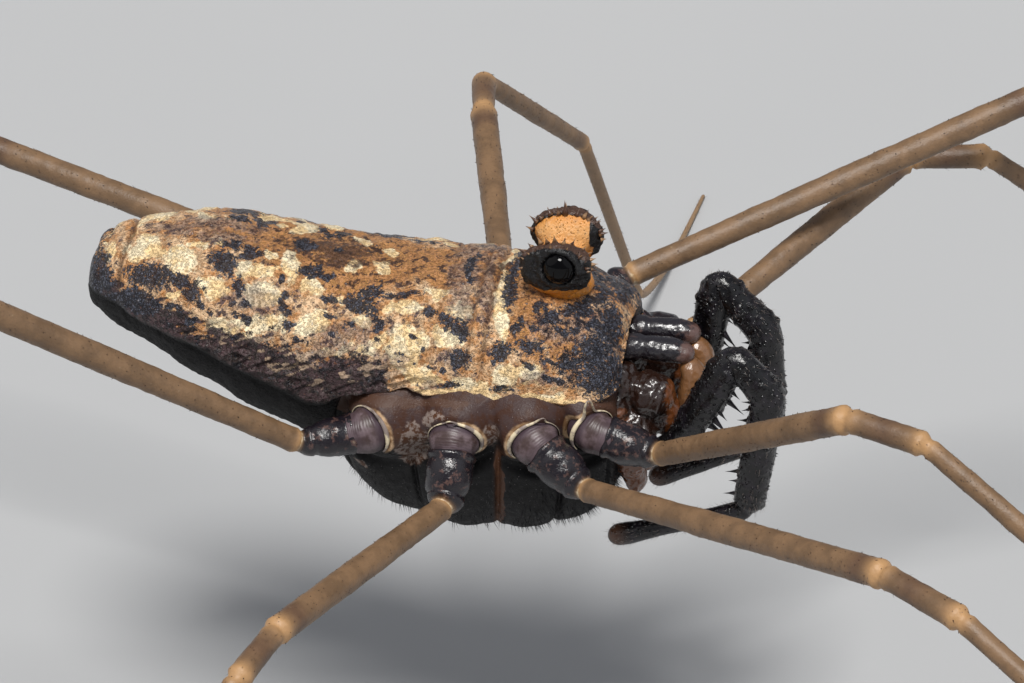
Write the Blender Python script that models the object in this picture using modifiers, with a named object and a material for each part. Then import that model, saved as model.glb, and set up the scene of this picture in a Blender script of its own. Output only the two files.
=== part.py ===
"""Standing harvestman, a life-size still model built as separate closed solids.

The animal faces +X, its left side is +Y and the floor is z = 0.
Every length below is in millimetres and every angle in degrees, until MM turns them into metres.
"""
import bmesh
import bpy
import math
import random
from mathutils import Matrix, Vector

MM = 0.001
GAP = 0.25
COLLECTION = "harvestman"
CUTTERS = "harvestman_cutters"

# Trunk, measured along the body axis, which runs level at this height above the floor
AXIS_HEIGHT = 8.5
REAR_END = -4.52
WAIST = 2.15
FRONT_END = 4.6
TRUNK_UNDERSIDE = -0.30
TRUNK_SIDES = 22

# Stations of the hind body: along, half width, widest level, top, bottom
HIND_BODY = [
    (REAR_END, 0.34, 0.76, 1.06, 0.50),
    (-4.44, 0.55, 0.72, 1.24, 0.32),
    (-4.15, 0.86, 0.62, 1.43, 0.05),
    (-3.70, 1.14, 0.54, 1.60, -0.16),
    (-3.10, 1.43, 0.44, 1.72, -0.44),
    (-2.40, 1.70, 0.30, 1.78, -0.86),
    (-1.60, 1.88, 0.12, 1.72, -1.26),
    (-0.90, 1.97, -0.06, 1.63, -1.52),
    (-0.40, 2.00, -0.12, 1.58, -1.60),
    (-0.14, 2.00, -0.12, 1.56, -1.42),
    (0.02, 1.99, -0.11, 1.55, -0.46),
    (0.60, 1.96, -0.06, 1.52, TRUNK_UNDERSIDE),
    (1.40, 1.92, 0.00, 1.50, TRUNK_UNDERSIDE),
    (WAIST, 1.89, 0.00, 1.48, TRUNK_UNDERSIDE),
]
# Stations of the carapace, which ends in a steep blunt front
CARAPACE = [
    (WAIST + GAP, 1.88, 0.00, 1.47, TRUNK_UNDERSIDE),
    (2.90, 1.87, 0.00, 1.45, TRUNK_UNDERSIDE),
    (3.40, 1.82, 0.00, 1.40, TRUNK_UNDERSIDE),
    (3.90, 1.71, 0.02, 1.31, TRUNK_UNDERSIDE),
    (4.30, 1.56, 0.05, 1.20, -0.27),
    (4.52, 1.42, 0.10, 1.08, -0.22),
    (FRONT_END, 1.26, 0.16, 0.94, -0.10),
]

# Median plate between the coxae
PLATE_REAR = 0.36
PLATE_FRONT = 3.95
PLATE_HALF_WIDTH = 0.30
PLATE_TOP = -0.58
PLATE_BOTTOM = -2.72
PLATE_BEVEL = 0.10

# Coxae: foot beside the plate, socket at the flank, half widths at both, for legs 1 to 4
COXA_FOOT = {1: 3.66, 2: 2.88, 3: 1.98, 4: 0.98}
COXA_SOCKET = {
    1: Vector((4.30, 1.72, -0.52)),
    2: Vector((3.38, 2.06, -0.62)),
    3: Vector((2.03, 2.15, -0.68)),
    4: Vector((0.57, 2.12, -0.63)),
}
COXA_FOOT_HALF_WIDTH = {1: 0.26, 2: 0.31, 3: 0.34, 4: 0.38}
COXA_MIDDLE_HALF_WIDTH = {1: 0.31, 2: 0.36, 3: 0.56, 4: 0.50}
COXA_SOCKET_RADIUS = {1: 0.36, 2: 0.42, 3: 0.44, 4: 0.46}
COXA_FACE_TURN = 0.50
COXA_TOP = -0.56
COXA_BOTTOM = -2.86
COXA_SIDES = 14

# Eye mound: two lobes over a narrow neck, with a row of denticles on each crest
MOUND_ALONG = 3.45
LOBE_OFFSET = 0.54
LOBE_LEVEL = 1.88
LOBE_HALF = Vector((0.66, 0.27, 0.45))
LOBE_LEAN = 12.0
LOBE_FLAT = 0.74
LOBE_RAISE = 0.03
NECK_HALF_LENGTH = 0.50
NECK_HALF_WIDTH = 0.42
DENTICLES_PER_LOBE = 8
DENTICLE_RADIUS = 0.085
DENTICLE_HEIGHT = 0.19
DENTICLE_SIDES = 6
EYE_RADIUS = 0.25
EYE_HEIGHT = 0.15
EYE_GAP = 0.08

# Jaws
JAW_OFFSET = 0.32
JAW_LEVEL = 0.36
JAW_RADIUS = 0.25
JAW_BEND = 5.80
HAND_END = Vector((5.62, 0.34, -0.72))
FINGER_TIPS = (Vector((5.34, 0.26, -1.46)), Vector((5.66, 0.28, -1.40)))
FINGER_RADIUS = 0.13
FINGER_SPREAD = 0.07
PALM_RADII = (0.22, 0.25, 0.26, 0.18)

# Feelers: joints on the left side, the right side mirrors them and then takes its own lift
FEELER_BASE = Vector((5.42, 1.02, -1.14))
FEELER_RISE = 35.0
FEELER_KNEE = {1: Vector((6.18, 1.10, 1.02)), -1: Vector((6.55, 1.10, 0.84))}
FEELER_PATELLA_END = {1: Vector((7.04, 1.08, 0.00)), -1: Vector((7.34, 1.08, 0.02))}
FEELER_SHANK_END = {1: Vector((7.02, 1.02, -2.02)), -1: Vector((6.86, 1.02, -2.14))}
FEELER_TIP = {1: Vector((4.80, 0.90, -2.90)), -1: Vector((4.40, 0.90, -3.00))}
FEELER_RADIUS = 0.25
FEELER_SWELL = 0.33
FEELER_BEND = 0.24
FEMUR_RADII = (0.25, 0.25, 0.26, 0.28, 0.32, 0.33, 0.33, 0.30, 0.28, 0.26, 0.25)
SHANK_RADII = (0.25, 0.26, 0.28, 0.30, 0.33, 0.34, 0.34, 0.28, 0.27, 0.26, 0.25)
CLUB_RADIUS = 0.28
FEELER_BLOCK_SIZE = Vector((0.66, 0.70, 1.00))
FEELER_BLOCK_PLACE = Vector((4.78, 0.92, -1.02))
FEELER_BLOCK_BEVEL = 0.16
SPINE_RADIUS = 0.10
SPINE_SIDES = 5
SPINE_ROOT = 0.12
SPINE_SEED = 7
# Spines of a feeler: share of the way along the length, and height above its surface
FEMUR_SPINES = ((0.06, 0.34), (0.26, 0.42), (0.46, 0.38), (0.68, 0.40), (0.98, 0.30))
SHANK_SPINES = ((0.10, 0.26), (0.42, 0.34), (0.72, 0.28))
FEMUR_SPINE_LEAN = Vector((0.72, 0, -0.70))
SHANK_SPINE_LEAN = Vector((-0.96, 0, -0.20))

# Leg segments: lengths and thickest radii for legs 1 to 4
TROCHANTER_LENGTH = 0.85
TROCHANTER_RADIUS = 0.36
HIP_RADIUS = 0.25
FEMUR_LENGTH = {1: 5.3, 2: 7.8, 3: 5.3, 4: 7.4}
PATELLA_LENGTH = {1: 1.4, 2: 1.7, 3: 1.4, 4: 1.6}
TIBIA_LENGTH = {1: 4.3, 2: 6.8, 3: 4.2, 4: 5.6}
METATARSUS_LENGTH = {1: 4.8, 2: 7.0, 3: 5.2, 4: 7.0}
TARSUS_LENGTH = {1: 5.6, 2: 8.6, 3: 6.0, 4: 7.4}
LEG_RADIUS = 0.25
KNEE_RADIUS = 0.28
TIP_RADIUS = 0.12
KNUCKLE = 0.22
SOLE_DEPTH = 0.08
TUBE_RESOLUTION = 3

# Directions of each segment: forward of straight out from the body, and upward.
# Order: trochanter, femur, patella, tibia, metatarsus; the last entry turns the tarsus on the floor.
POSE = {
    (1, -1): ((84, -13), (50, 31), (70, -2), (70, -30), (62, -64), 50),
    (2, -1): ((62, -28), (48, 15), (52, -1), (63, -26), (56, -46), 44),
    (3, -1): ((-2, -48), (-20, 5), (-14, -3), (-38, -36), (-34, -58), -24),
    (4, -1): ((-72, -8), (-60, 34), (-58, 4), (-54, -40), (-50, -64), -40),
    (1, 1): ((64, -14), (38, 17), (80, 1), (60, -40), (52, -66), 44),
    (2, 1): ((54, 34), (62, 17), (58, -6), (54, -34), (48, -52), 34),
    (3, 1): ((-6, -6), (-14, 6), (-10, -5), (24, -40), (14, -60), 4),
    (4, 1): ((-70, 2), (-74, 8), (-70, -4), (-60, -26), (-54, -48), -44),
}
SIDE_NAMES = {1: "left", -1: "right"}

# Colour, roughness and metallic value of each kind of surface
FINISHES = {
    "hind_body_shell": ((0.45, 0.29, 0.13), 0.55, 0.0),
    "carapace_shell": ((0.40, 0.26, 0.13), 0.55, 0.0),
    "belly_shell": ((0.03, 0.03, 0.035), 0.60, 0.0),
    "coxa_shell": ((0.09, 0.07, 0.07), 0.50, 0.0),
    "mound_shell": ((0.07, 0.05, 0.045), 0.45, 0.0),
    "eye_lens": ((0.01, 0.01, 0.012), 0.08, 0.0),
    "jaw_shell": ((0.16, 0.09, 0.05), 0.30, 0.0),
    "feeler_shell": ((0.015, 0.015, 0.018), 0.30, 0.0),
    "femur_shell": ((0.23, 0.15, 0.07), 0.50, 0.0),
    "tibia_shell": ((0.28, 0.18, 0.08), 0.50, 0.0),
    "metatarsus_shell": ((0.30, 0.20, 0.09), 0.50, 0.0),
    "tarsus_shell": ((0.32, 0.22, 0.11), 0.55, 0.0),
}


def clear_scene():
    """Remove every object that the startup file brings."""
    for old in list(bpy.data.objects):
        bpy.data.objects.remove(old, do_unlink=True)


def new_collection(name):
    group = bpy.data.collections.new(name)
    bpy.context.scene.collection.children.link(group)
    return group


def finish_material(kind):
    """The Principled material of one kind of surface, made once."""
    known = bpy.data.materials.get(kind)
    if known:
        return known
    colour, roughness, metallic = FINISHES[kind]
    material = bpy.data.materials.new(kind)
    material.use_nodes = True
    shader = material.node_tree.nodes["Principled BSDF"]
    shader.inputs["Base Color"].default_value = (*colour, 1.0)
    shader.inputs["Roughness"].default_value = roughness
    shader.inputs["Metallic"].default_value = metallic
    return material


def trunk_point(place):
    """A point given along the body axis, raised to its height above the floor."""
    return Vector((place[0], place[1], place[2] + AXIS_HEIGHT))


def mirrored(place, side):
    return Vector((place[0], place[1] * side, place[2]))


def heading(forward, upward, side):
    """Unit direction of a leg segment on one side of the body."""
    turn = math.radians(forward)
    rise = math.radians(upward)
    return Vector((
        math.sin(turn) * math.cos(rise),
        side * math.cos(turn) * math.cos(rise),
        math.sin(rise),
    ))


def mesh_object(name, bm, kind, group, anchor):
    """Turn a bmesh in millimetres into a node in metres whose origin is its anchor."""
    bmesh.ops.translate(bm, verts=bm.verts, vec=-anchor)
    bmesh.ops.scale(bm, verts=bm.verts, vec=(MM, MM, MM))
    bmesh.ops.recalc_face_normals(bm, faces=bm.faces)
    mesh = bpy.data.meshes.new(name)
    bm.to_mesh(mesh)
    bm.free()
    mesh.shade_smooth()
    mesh.set_sharp_from_angle(angle=math.radians(50))
    mesh.materials.clear()
    mesh.materials.append(finish_material(kind))
    node = bpy.data.objects.new(name, mesh)
    node.location = anchor * MM
    group.objects.link(node)
    return node


def loft(rings):
    """A closed bmesh through rings of equal counts, with a flat cap at each end."""
    bm = bmesh.new()
    loops = [[bm.verts.new(point) for point in ring] for ring in rings]
    count = len(rings[0])
    for lower, upper in zip(loops, loops[1:]):
        for here in range(count):
            after = (here + 1) % count
            bm.faces.new((lower[here], lower[after], upper[after], upper[here]))
    bm.faces.new(loops[0])
    bm.faces.new(loops[-1])
    return bm


def trunk_section(station, sides=TRUNK_SIDES):
    """One cross-section of the trunk: a rounded back over a shallower belly."""
    along, half_width, level, top, bottom = station
    ring = []
    for step in range(sides):
        angle = 2 * math.pi * step / sides
        height = top - level if math.sin(angle) > 0 else level - bottom
        ring.append(trunk_point((
            along,
            half_width * math.copysign(abs(math.cos(angle)) ** 0.86, math.cos(angle)),
            level + height * math.copysign(abs(math.sin(angle)) ** 0.92, math.sin(angle)),
        )))
    return ring


def carapace_level(along, across):
    """Height of the carapace's upper surface over a point, from the stations beside it."""
    for near, far in zip(CARAPACE, CARAPACE[1:]):
        if near[0] <= along <= far[0]:
            break
    share = (along - near[0]) / (far[0] - near[0])
    half_width, level, top = (near[i] + (far[i] - near[i]) * share for i in (1, 2, 3))
    cosine = min(1.0, (abs(across) / half_width)) ** (1 / 0.86)
    sine = math.sqrt(1 - cosine ** 2)
    return level + (top - level) * sine ** 0.92


def build_trunk(group):
    """Hind body and carapace, whose flat ends face each other across the waist."""
    for name, stations, kind in (
        ("opisthosoma", HIND_BODY, "hind_body_shell"),
        ("carapace", CARAPACE, "carapace_shell"),
    ):
        middle = stations[len(stations) // 2]
        anchor = trunk_point((middle[0], 0, middle[2]))
        mesh_object(name, loft([trunk_section(s) for s in stations]), kind, group, anchor)


def build_plate(group):
    """The median plate between the coxae, a long box with rounded edges."""
    size = Vector((PLATE_FRONT - PLATE_REAR, 2 * PLATE_HALF_WIDTH, PLATE_TOP - PLATE_BOTTOM))
    centre = trunk_point(((PLATE_FRONT + PLATE_REAR) / 2, 0, (PLATE_TOP + PLATE_BOTTOM) / 2))
    rounded_box("genital_operculum", size, centre, PLATE_BEVEL, "belly_shell", group)


def rounded_box(name, size, centre, width, kind, group):
    bm = bmesh.new()
    bmesh.ops.create_cube(bm, size=1.0)
    bmesh.ops.scale(bm, verts=bm.verts, vec=size)
    bmesh.ops.translate(bm, verts=bm.verts, vec=centre)
    node = mesh_object(name, bm, kind, group, centre)
    bevel = node.modifiers.new("rounded_edges", "BEVEL")
    bevel.width = width * MM
    bevel.segments = 3
    return node


def socket_facing(number, side):
    """Direction that a coxa's socket faces: between straight out and the trochanter."""
    out = Vector((0, side, 0))
    trochanter = heading(*POSE[(number, side)][0], side)
    return out.lerp(trochanter, COXA_FACE_TURN).normalized()


def coxa_rings(number, side):
    """Rings from the plate's side out to the leg socket, bulging below."""
    socket = COXA_SOCKET[number]
    foot = Vector((COXA_FOOT[number], PLATE_HALF_WIDTH + GAP, 0))
    out = Vector((0, 1, 0))
    facing = mirrored(socket_facing(number, side), side)
    foot_width = COXA_FOOT_HALF_WIDTH[number]
    middle_width = COXA_MIDDLE_HALF_WIDTH[number]
    radius = COXA_SOCKET_RADIUS[number]
    socket_top = socket.z + radius
    socket_bottom = socket.z - radius
    # Each entry: share of the way out, half width, top, bottom
    profile = (
        (0.00, foot_width, COXA_TOP - 0.06, COXA_BOTTOM + 0.22),
        (0.10, foot_width + 0.05, COXA_TOP, COXA_BOTTOM + 0.08),
        (0.40, middle_width - 0.03, COXA_TOP, COXA_BOTTOM),
        (0.66, middle_width, COXA_TOP - 0.02, COXA_BOTTOM + 0.34),
        (0.86, (middle_width + radius) / 2 + 0.03, socket_top - 0.10, socket_bottom - 0.46),
        (0.95, radius + 0.04, socket_top, socket_bottom - 0.14),
        (1.00, radius, socket_top - 0.03, socket_bottom + 0.02),
    )
    rings = []
    for share, half_width, top, bottom in profile:
        turn = max(0.0, (share - 0.6) / 0.4)
        normal = out.lerp(facing, turn).normalized()
        centre = foot.lerp(Vector((socket.x, socket.y, 0)), share)
        centre.z = (top + bottom) / 2
        across = Vector((0, 0, 1)).cross(normal).normalized()
        upright = normal.cross(across).normalized()
        ring = []
        for step in range(COXA_SIDES):
            angle = 2 * math.pi * step / COXA_SIDES
            wide = half_width * math.copysign(abs(math.cos(angle)) ** 0.8, math.cos(angle))
            high = (top - bottom) / 2 * math.copysign(abs(math.sin(angle)) ** 0.8, math.sin(angle))
            ring.append(trunk_point(mirrored(centre + across * wide + upright * high, side)))
        rings.append(ring)
    return rings


def build_coxae(group):
    """Eight fixed leg bases, four on each side of the plate."""
    for number, side in POSE:
        anchor = trunk_point(mirrored(COXA_SOCKET[number], side))
        name = f"leg_{number}_{SIDE_NAMES[side]}_coxa"
        mesh_object(name, loft(coxa_rings(number, side)), "coxa_shell", group, anchor)


def cone_mesh(base, tip, radius, sides):
    """A spine as a bmesh: a narrow cone whose foot stands below the surface it grows from."""
    bm = bmesh.new()
    axis = tip - base
    bmesh.ops.create_cone(
        bm, cap_ends=True, segments=sides, radius1=radius, radius2=0.0, depth=axis.length)
    bmesh.ops.remove_doubles(bm, verts=bm.verts, dist=1e-5)
    turn = Vector((0, 0, 1)).rotation_difference(axis.normalized()).to_matrix().to_4x4()
    place = Matrix.Translation((base + tip) / 2) @ turn
    bmesh.ops.transform(bm, matrix=place, verts=bm.verts)
    return bm


def fused(pieces, cutters):
    """One closed bmesh from several overlapping ones, joined by a single Boolean union."""
    group = bpy.data.collections.new("pieces")
    cutters.children.link(group)
    holders = []
    for number, bm in enumerate(pieces):
        bmesh.ops.recalc_face_normals(bm, faces=bm.faces)
        bmesh.ops.triangulate(bm, faces=bm.faces)
        mesh = bpy.data.meshes.new(f"piece_{number}")
        bm.to_mesh(mesh)
        bm.free()
        holder = bpy.data.objects.new(mesh.name, mesh)
        holder.hide_render = True
        holder.display_type = "WIRE"
        (cutters if number == 0 else group).objects.link(holder)
        holders.append(holder)
    union = holders[0].modifiers.new("union", "BOOLEAN")
    union.operation = "UNION"
    union.operand_type = "COLLECTION"
    union.collection = group
    union.solver = "EXACT"
    bpy.context.view_layer.update()
    evaluated = holders[0].evaluated_get(bpy.context.evaluated_depsgraph_get())
    joined = bmesh.new()
    joined.from_mesh(evaluated.to_mesh())
    evaluated.to_mesh_clear()
    for holder in holders:
        mesh = holder.data
        bpy.data.objects.remove(holder, do_unlink=True)
        bpy.data.meshes.remove(mesh)
    bpy.data.collections.remove(group)
    bmesh.ops.remove_doubles(joined, verts=joined.verts, dist=0.002)
    return largest_surface(joined)


def largest_surface(bm):
    """Keep only the closed surface that holds the most volume."""
    bm.verts.ensure_lookup_table()
    waiting = set(bm.verts)
    islands = []
    while waiting:
        front = [waiting.pop()]
        island = set(front)
        while front:
            for edge in front.pop().link_edges:
                for vert in edge.verts:
                    if vert in waiting:
                        waiting.discard(vert)
                        island.add(vert)
                        front.append(vert)
        islands.append(island)
    islands.sort(key=lambda island: island_volume(bm, island), reverse=True)
    for island in islands[1:]:
        bmesh.ops.delete(bm, geom=list(island), context="VERTS")
    return bm


def island_volume(bm, island):
    faces = {face for vert in island for face in vert.link_faces}
    total = 0.0
    for face in faces:
        corners = [vert.co for vert in face.verts]
        for second, third in zip(corners[1:], corners[2:]):
            total += corners[0].dot(second.cross(third)) / 6
    return abs(total)


def lobe_mesh(side):
    """One lobe of the eye mound, flat on its outer side where the eye sits."""
    bm = bmesh.new()
    bmesh.ops.create_uvsphere(bm, u_segments=18, v_segments=12, radius=1.0)
    bmesh.ops.scale(bm, verts=bm.verts, vec=LOBE_HALF)
    lean = Matrix.Rotation(math.radians(LOBE_LEAN) * side, 4, "X").inverted()
    centre = trunk_point((MOUND_ALONG, LOBE_OFFSET * side, LOBE_LEVEL))
    bmesh.ops.transform(bm, matrix=Matrix.Translation(centre) @ lean, verts=bm.verts)
    for vert in bm.verts:
        if vert.co.y * side > LOBE_FLAT:
            vert.co.y = LOBE_FLAT * side
        seat = carapace_level(vert.co.x, vert.co.y) + AXIS_HEIGHT + GAP + LOBE_RAISE
        vert.co.z = max(vert.co.z, seat)
    return bm


def neck_mesh():
    """The neck of the eye mound, whose foot follows the carapace across a gap."""
    rings = []
    # Each entry: share of the full size along and across, level, or None for the foot
    for along_share, across_share, level in (
        (1.10, 1.20, None), (1.0, 1.02, 1.78), (0.85, 0.95, 1.93),
    ):
        ring = []
        for step in range(20):
            angle = 2 * math.pi * step / 20
            x = MOUND_ALONG + NECK_HALF_LENGTH * along_share * math.cos(angle)
            y = NECK_HALF_WIDTH * across_share * math.sin(angle)
            z = carapace_level(x, y) + GAP if level is None else level
            ring.append(trunk_point((x, y, z)))
        rings.append(ring)
    return loft(rings)


def denticle_meshes(side):
    """The row of short spines along one crest, tallest in the middle."""
    spines = []
    draw = random.Random(SPINE_SEED + side)
    for number in range(DENTICLES_PER_LOBE):
        share = number / (DENTICLES_PER_LOBE - 1)
        angle = math.radians(152 - 128 * share)
        spot = Vector((LOBE_HALF.x * math.cos(angle), 0, LOBE_HALF.z * math.sin(angle)))
        normal = Vector((math.cos(angle) / LOBE_HALF.x, 0, math.sin(angle) / LOBE_HALF.z)).normalized()
        tilt = Vector((0, side * (0.10 + 0.22 * draw.random()), 0))
        centre = Vector((MOUND_ALONG, (LOBE_OFFSET + 0.09) * side, LOBE_LEVEL))
        height = DENTICLE_HEIGHT * (0.75 + 0.35 * draw.random())
        base = trunk_point(centre + spot - normal * 0.12)
        tip = trunk_point(centre + spot + (normal + tilt).normalized() * height)
        spines.append(cone_mesh(base, tip, DENTICLE_RADIUS, DENTICLE_SIDES))
    return spines


def build_mound(group, cutters):
    """The eye mound with its denticles, and an eye on each outer side."""
    pieces = [neck_mesh(), lobe_mesh(1), lobe_mesh(-1)]
    pieces += denticle_meshes(1) + denticle_meshes(-1)
    anchor = trunk_point((MOUND_ALONG, 0, LOBE_LEVEL))
    mesh_object("ocularium", fused(pieces, cutters), "mound_shell", group, anchor)
    for side in (1, -1):
        bm = bmesh.new()
        bmesh.ops.create_uvsphere(bm, u_segments=16, v_segments=10, radius=1.0)
        for vert in bm.verts:
            vert.co.z = max(vert.co.z, 0.0)
        bmesh.ops.remove_doubles(bm, verts=bm.verts, dist=1e-5)
        flat = [vert for vert in bm.verts if vert.co.z < 1e-5 and vert.co.length < 0.99]
        bmesh.ops.delete(bm, geom=flat, context="VERTS")
        bmesh.ops.holes_fill(bm, edges=[edge for edge in bm.edges if edge.is_boundary], sides=0)
        bmesh.ops.scale(bm, verts=bm.verts, vec=(EYE_RADIUS, EYE_RADIUS, EYE_HEIGHT))
        turn = Matrix.Rotation(math.radians(-90 * side), 4, "X")
        centre = trunk_point((MOUND_ALONG + 0.06, (LOBE_FLAT + EYE_GAP) * side, LOBE_LEVEL + 0.02))
        bmesh.ops.transform(bm, matrix=Matrix.Translation(centre) @ turn, verts=bm.verts)
        mesh_object(f"eye_{SIDE_NAMES[side]}", bm, "eye_lens", group, centre)


def tube_curve(name, points, radii, unit):
    """A curve along the points, as thick at each as its radius says, with closed ends."""
    curve = bpy.data.curves.new(name, "CURVE")
    curve.dimensions = "3D"
    curve.bevel_depth = unit
    curve.bevel_resolution = TUBE_RESOLUTION
    curve.use_fill_caps = True
    spline = curve.splines.new("POLY")
    spline.points.add(len(points) - 1)
    for knot, place, radius in zip(spline.points, points, radii):
        knot.co = (*(place * unit), 1.0)
        knot.radius = radius
    return curve


def tube_node(name, points, radii, kind, group):
    """A plain tube as its own node, with its origin at its first point."""
    anchor = points[0]
    curve = tube_curve(name, [place - anchor for place in points], radii, MM)
    curve.materials.append(finish_material(kind))
    node = bpy.data.objects.new(name, curve)
    node.location = anchor * MM
    group.objects.link(node)
    return node


def tube_mesh(points, radii):
    """A closed bmesh of a tube, in millimetres."""
    curve = tube_curve("tube", points, radii, 1.0)
    holder = bpy.data.objects.new("tube", curve)
    bpy.context.scene.collection.objects.link(holder)
    bpy.context.view_layer.update()
    evaluated = holder.evaluated_get(bpy.context.evaluated_depsgraph_get())
    mesh = bpy.data.meshes.new_from_object(evaluated)
    bm = bmesh.new()
    bm.from_mesh(mesh)
    bpy.data.objects.remove(holder, do_unlink=True)
    bpy.data.curves.remove(curve)
    bpy.data.meshes.remove(mesh)
    bmesh.ops.remove_doubles(bm, verts=bm.verts, dist=1e-5)
    return bm


def build_jaws(group, cutters):
    """Each jaw: a level first segment, and a hand with two fingers that hangs from it."""
    for side in (1, -1):
        name = SIDE_NAMES[side]
        start = trunk_point((FRONT_END + GAP, JAW_OFFSET * side, JAW_LEVEL))
        bend = trunk_point((JAW_BEND, JAW_OFFSET * side, JAW_LEVEL))
        body = [start, start.lerp(bend, 0.12), start.lerp(bend, 0.6), start.lerp(bend, 0.85), bend]
        radii = [JAW_RADIUS * share for share in (0.84, 1.0, 1.06, 0.92, 0.55)]
        tube_node(f"chelicera_{name}_base", body, radii, "jaw_shell", group)
        palm_end = trunk_point(mirrored(HAND_END, side))
        top = bend + Vector((-0.04, 0, -JAW_RADIUS - GAP))
        palm = [top, top.lerp(palm_end, 0.2), top.lerp(palm_end, 0.6), palm_end]
        pieces = [tube_mesh(palm, PALM_RADII)]
        for lean, finger_tip in zip((-FINGER_SPREAD, FINGER_SPREAD), FINGER_TIPS):
            end = trunk_point(mirrored(finger_tip, side))
            root = palm_end + Vector((lean, 0, 0.12))
            bow = root.lerp(end, 0.5) + Vector((lean, 0, 0))
            radii = (FINGER_RADIUS, FINGER_RADIUS * 0.9, FINGER_RADIUS * 0.35)
            pieces.append(tube_mesh([root, bow, end], radii))
        mesh_object(f"chelicera_{name}_hand", fused(pieces, cutters), "jaw_shell", group, top)


def spine_row(start, end, lean, row, seed):
    """Spines along one stretch of a feeler, leaning away from its lower side."""
    draw = random.Random(seed)
    spines = []
    for share, height in row:
        root = start.lerp(end, share)
        sway = Vector((0, 0.22 * (draw.random() - 0.5), 0))
        toward = (lean + sway).normalized()
        tip = root + toward * (FEELER_SWELL + height)
        spines.append(cone_mesh(root + toward * SPINE_ROOT, tip, SPINE_RADIUS, SPINE_SIDES))
    return spines


def build_feelers(group, cutters):
    """Feelers: base block, spined femur, spined patella with shank, and a bare club."""
    for side in (1, -1):
        name = SIDE_NAMES[side]
        block = trunk_point(mirrored(FEELER_BLOCK_PLACE, side))
        rounded_box(f"palp_{name}_coxa", FEELER_BLOCK_SIZE, block, FEELER_BLOCK_BEVEL,
                    "jaw_shell", group)
        base = trunk_point(mirrored(FEELER_BASE, side))
        knee = trunk_point(mirrored(FEELER_KNEE[side], side))
        patella = trunk_point(mirrored(FEELER_PATELLA_END[side], side))
        shank = trunk_point(mirrored(FEELER_SHANK_END[side], side))
        tip = trunk_point(mirrored(FEELER_TIP[side], side))
        lift = math.radians(FEELER_RISE)
        elbow = base + Vector((math.cos(lift), 0, math.sin(lift))) * FEELER_BEND
        rise = (knee - elbow).normalized()
        fall = (patella - knee).normalized()
        over = (rise + fall).normalized()
        femur_end = knee - over * GAP / 2
        femur = eased([base, elbow, elbow.lerp(knee, 0.4), elbow.lerp(knee, 0.88), femur_end],
                      FEELER_BEND)
        spines = spine_row(elbow, elbow.lerp(knee, 0.9), FEMUR_SPINE_LEAN, FEMUR_SPINES, SPINE_SEED)
        pieces = [tube_mesh(femur, FEMUR_RADII)] + spines
        mesh_object(f"palp_{name}_femur", fused(pieces, cutters), "feeler_shell", group, base)
        back = ((shank - patella).normalized() + (tip - shank).normalized()).normalized()
        shank_path = eased([knee + over * GAP / 2, knee + over * (GAP / 2 + FEELER_BEND),
                            patella, shank - back * (GAP / 2 + FEELER_BEND),
                            shank - back * GAP / 2], FEELER_BEND)
        spines = spine_row(patella.lerp(shank, 0.08), patella.lerp(shank, 0.9), SHANK_SPINE_LEAN,
                           SHANK_SPINES, SPINE_SEED + 1)
        pieces = [tube_mesh(shank_path, SHANK_RADII)] + spines
        mesh_object(f"palp_{name}_tibia", fused(pieces, cutters), "feeler_shell", group, knee)
        run = (tip - shank).normalized()
        club = eased([shank + back * GAP / 2, shank + back * (GAP / 2 + FEELER_BEND),
                      shank.lerp(tip, 0.5)], FEELER_BEND)
        club += [tip - run * CLUB_RADIUS * share for share in (2.0, 0.8, 0.25, 0.0)]
        radii = [FEELER_RADIUS] * 5 + [CLUB_RADIUS, CLUB_RADIUS * 0.92, CLUB_RADIUS * 0.6, TIP_RADIUS]
        tube_node(f"palp_{name}_tarsus", club, radii, "feeler_shell", group)


def eased(corners, reach):
    """A path through the corners with each inner one rounded off over a short reach."""
    path = [corners[0]]
    for before, corner, after in zip(corners, corners[1:], corners[2:]):
        arrive = corner.lerp(before, min(0.45, reach / (before - corner).length))
        leave = corner.lerp(after, min(0.45, reach / (after - corner).length))
        path += [arrive, (arrive + leave + corner * 2) / 4, leave]
    path.append(corners[-1])
    return path


def bent(before, after):
    return (before.normalized() + after.normalized()).normalized()


def run_between(first, first_turn, last, last_turn):
    """Points from just past one joint to just short of the next, squared to both joints."""
    start = first + first_turn * GAP / 2
    end = last - last_turn * GAP / 2
    inner_start = first + first_turn * (GAP / 2 + KNUCKLE)
    inner_end = last - last_turn * (GAP / 2 + KNUCKLE)
    return [start, inner_start, inner_start.lerp(inner_end, 0.34),
            inner_start.lerp(inner_end, 0.67), inner_end, end]


def tarsus_path(start, turn, length, direction):
    """The tarsus falls in a curve from its joint and lies along the floor to its tip."""
    floor_level = LEG_RADIUS - SOLE_DEPTH
    drop = start.z - floor_level
    reach = math.sqrt(max(length ** 2 - drop ** 2, 0.3 * length ** 2)) * 0.92
    points = [start + turn * GAP / 2, start + turn * (GAP / 2 + KNUCKLE)]
    steps = 8
    foot = points[-1]
    for step in range(1, steps + 1):
        share = step / steps
        fall = (foot.z - floor_level) * (1 - (1 - min(share / 0.72, 1)) ** 2)
        place = foot + direction * reach * share
        points.append(Vector((place.x, place.y, foot.z - fall)))
    return points


def flat_soled(bm):
    """Press whatever reaches below the floor up to it, which leaves a small flat."""
    for vert in bm.verts:
        vert.co.z = max(vert.co.z, 0.0)
    bmesh.ops.remove_doubles(bm, verts=bm.verts, dist=1e-4)
    return bm


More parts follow.
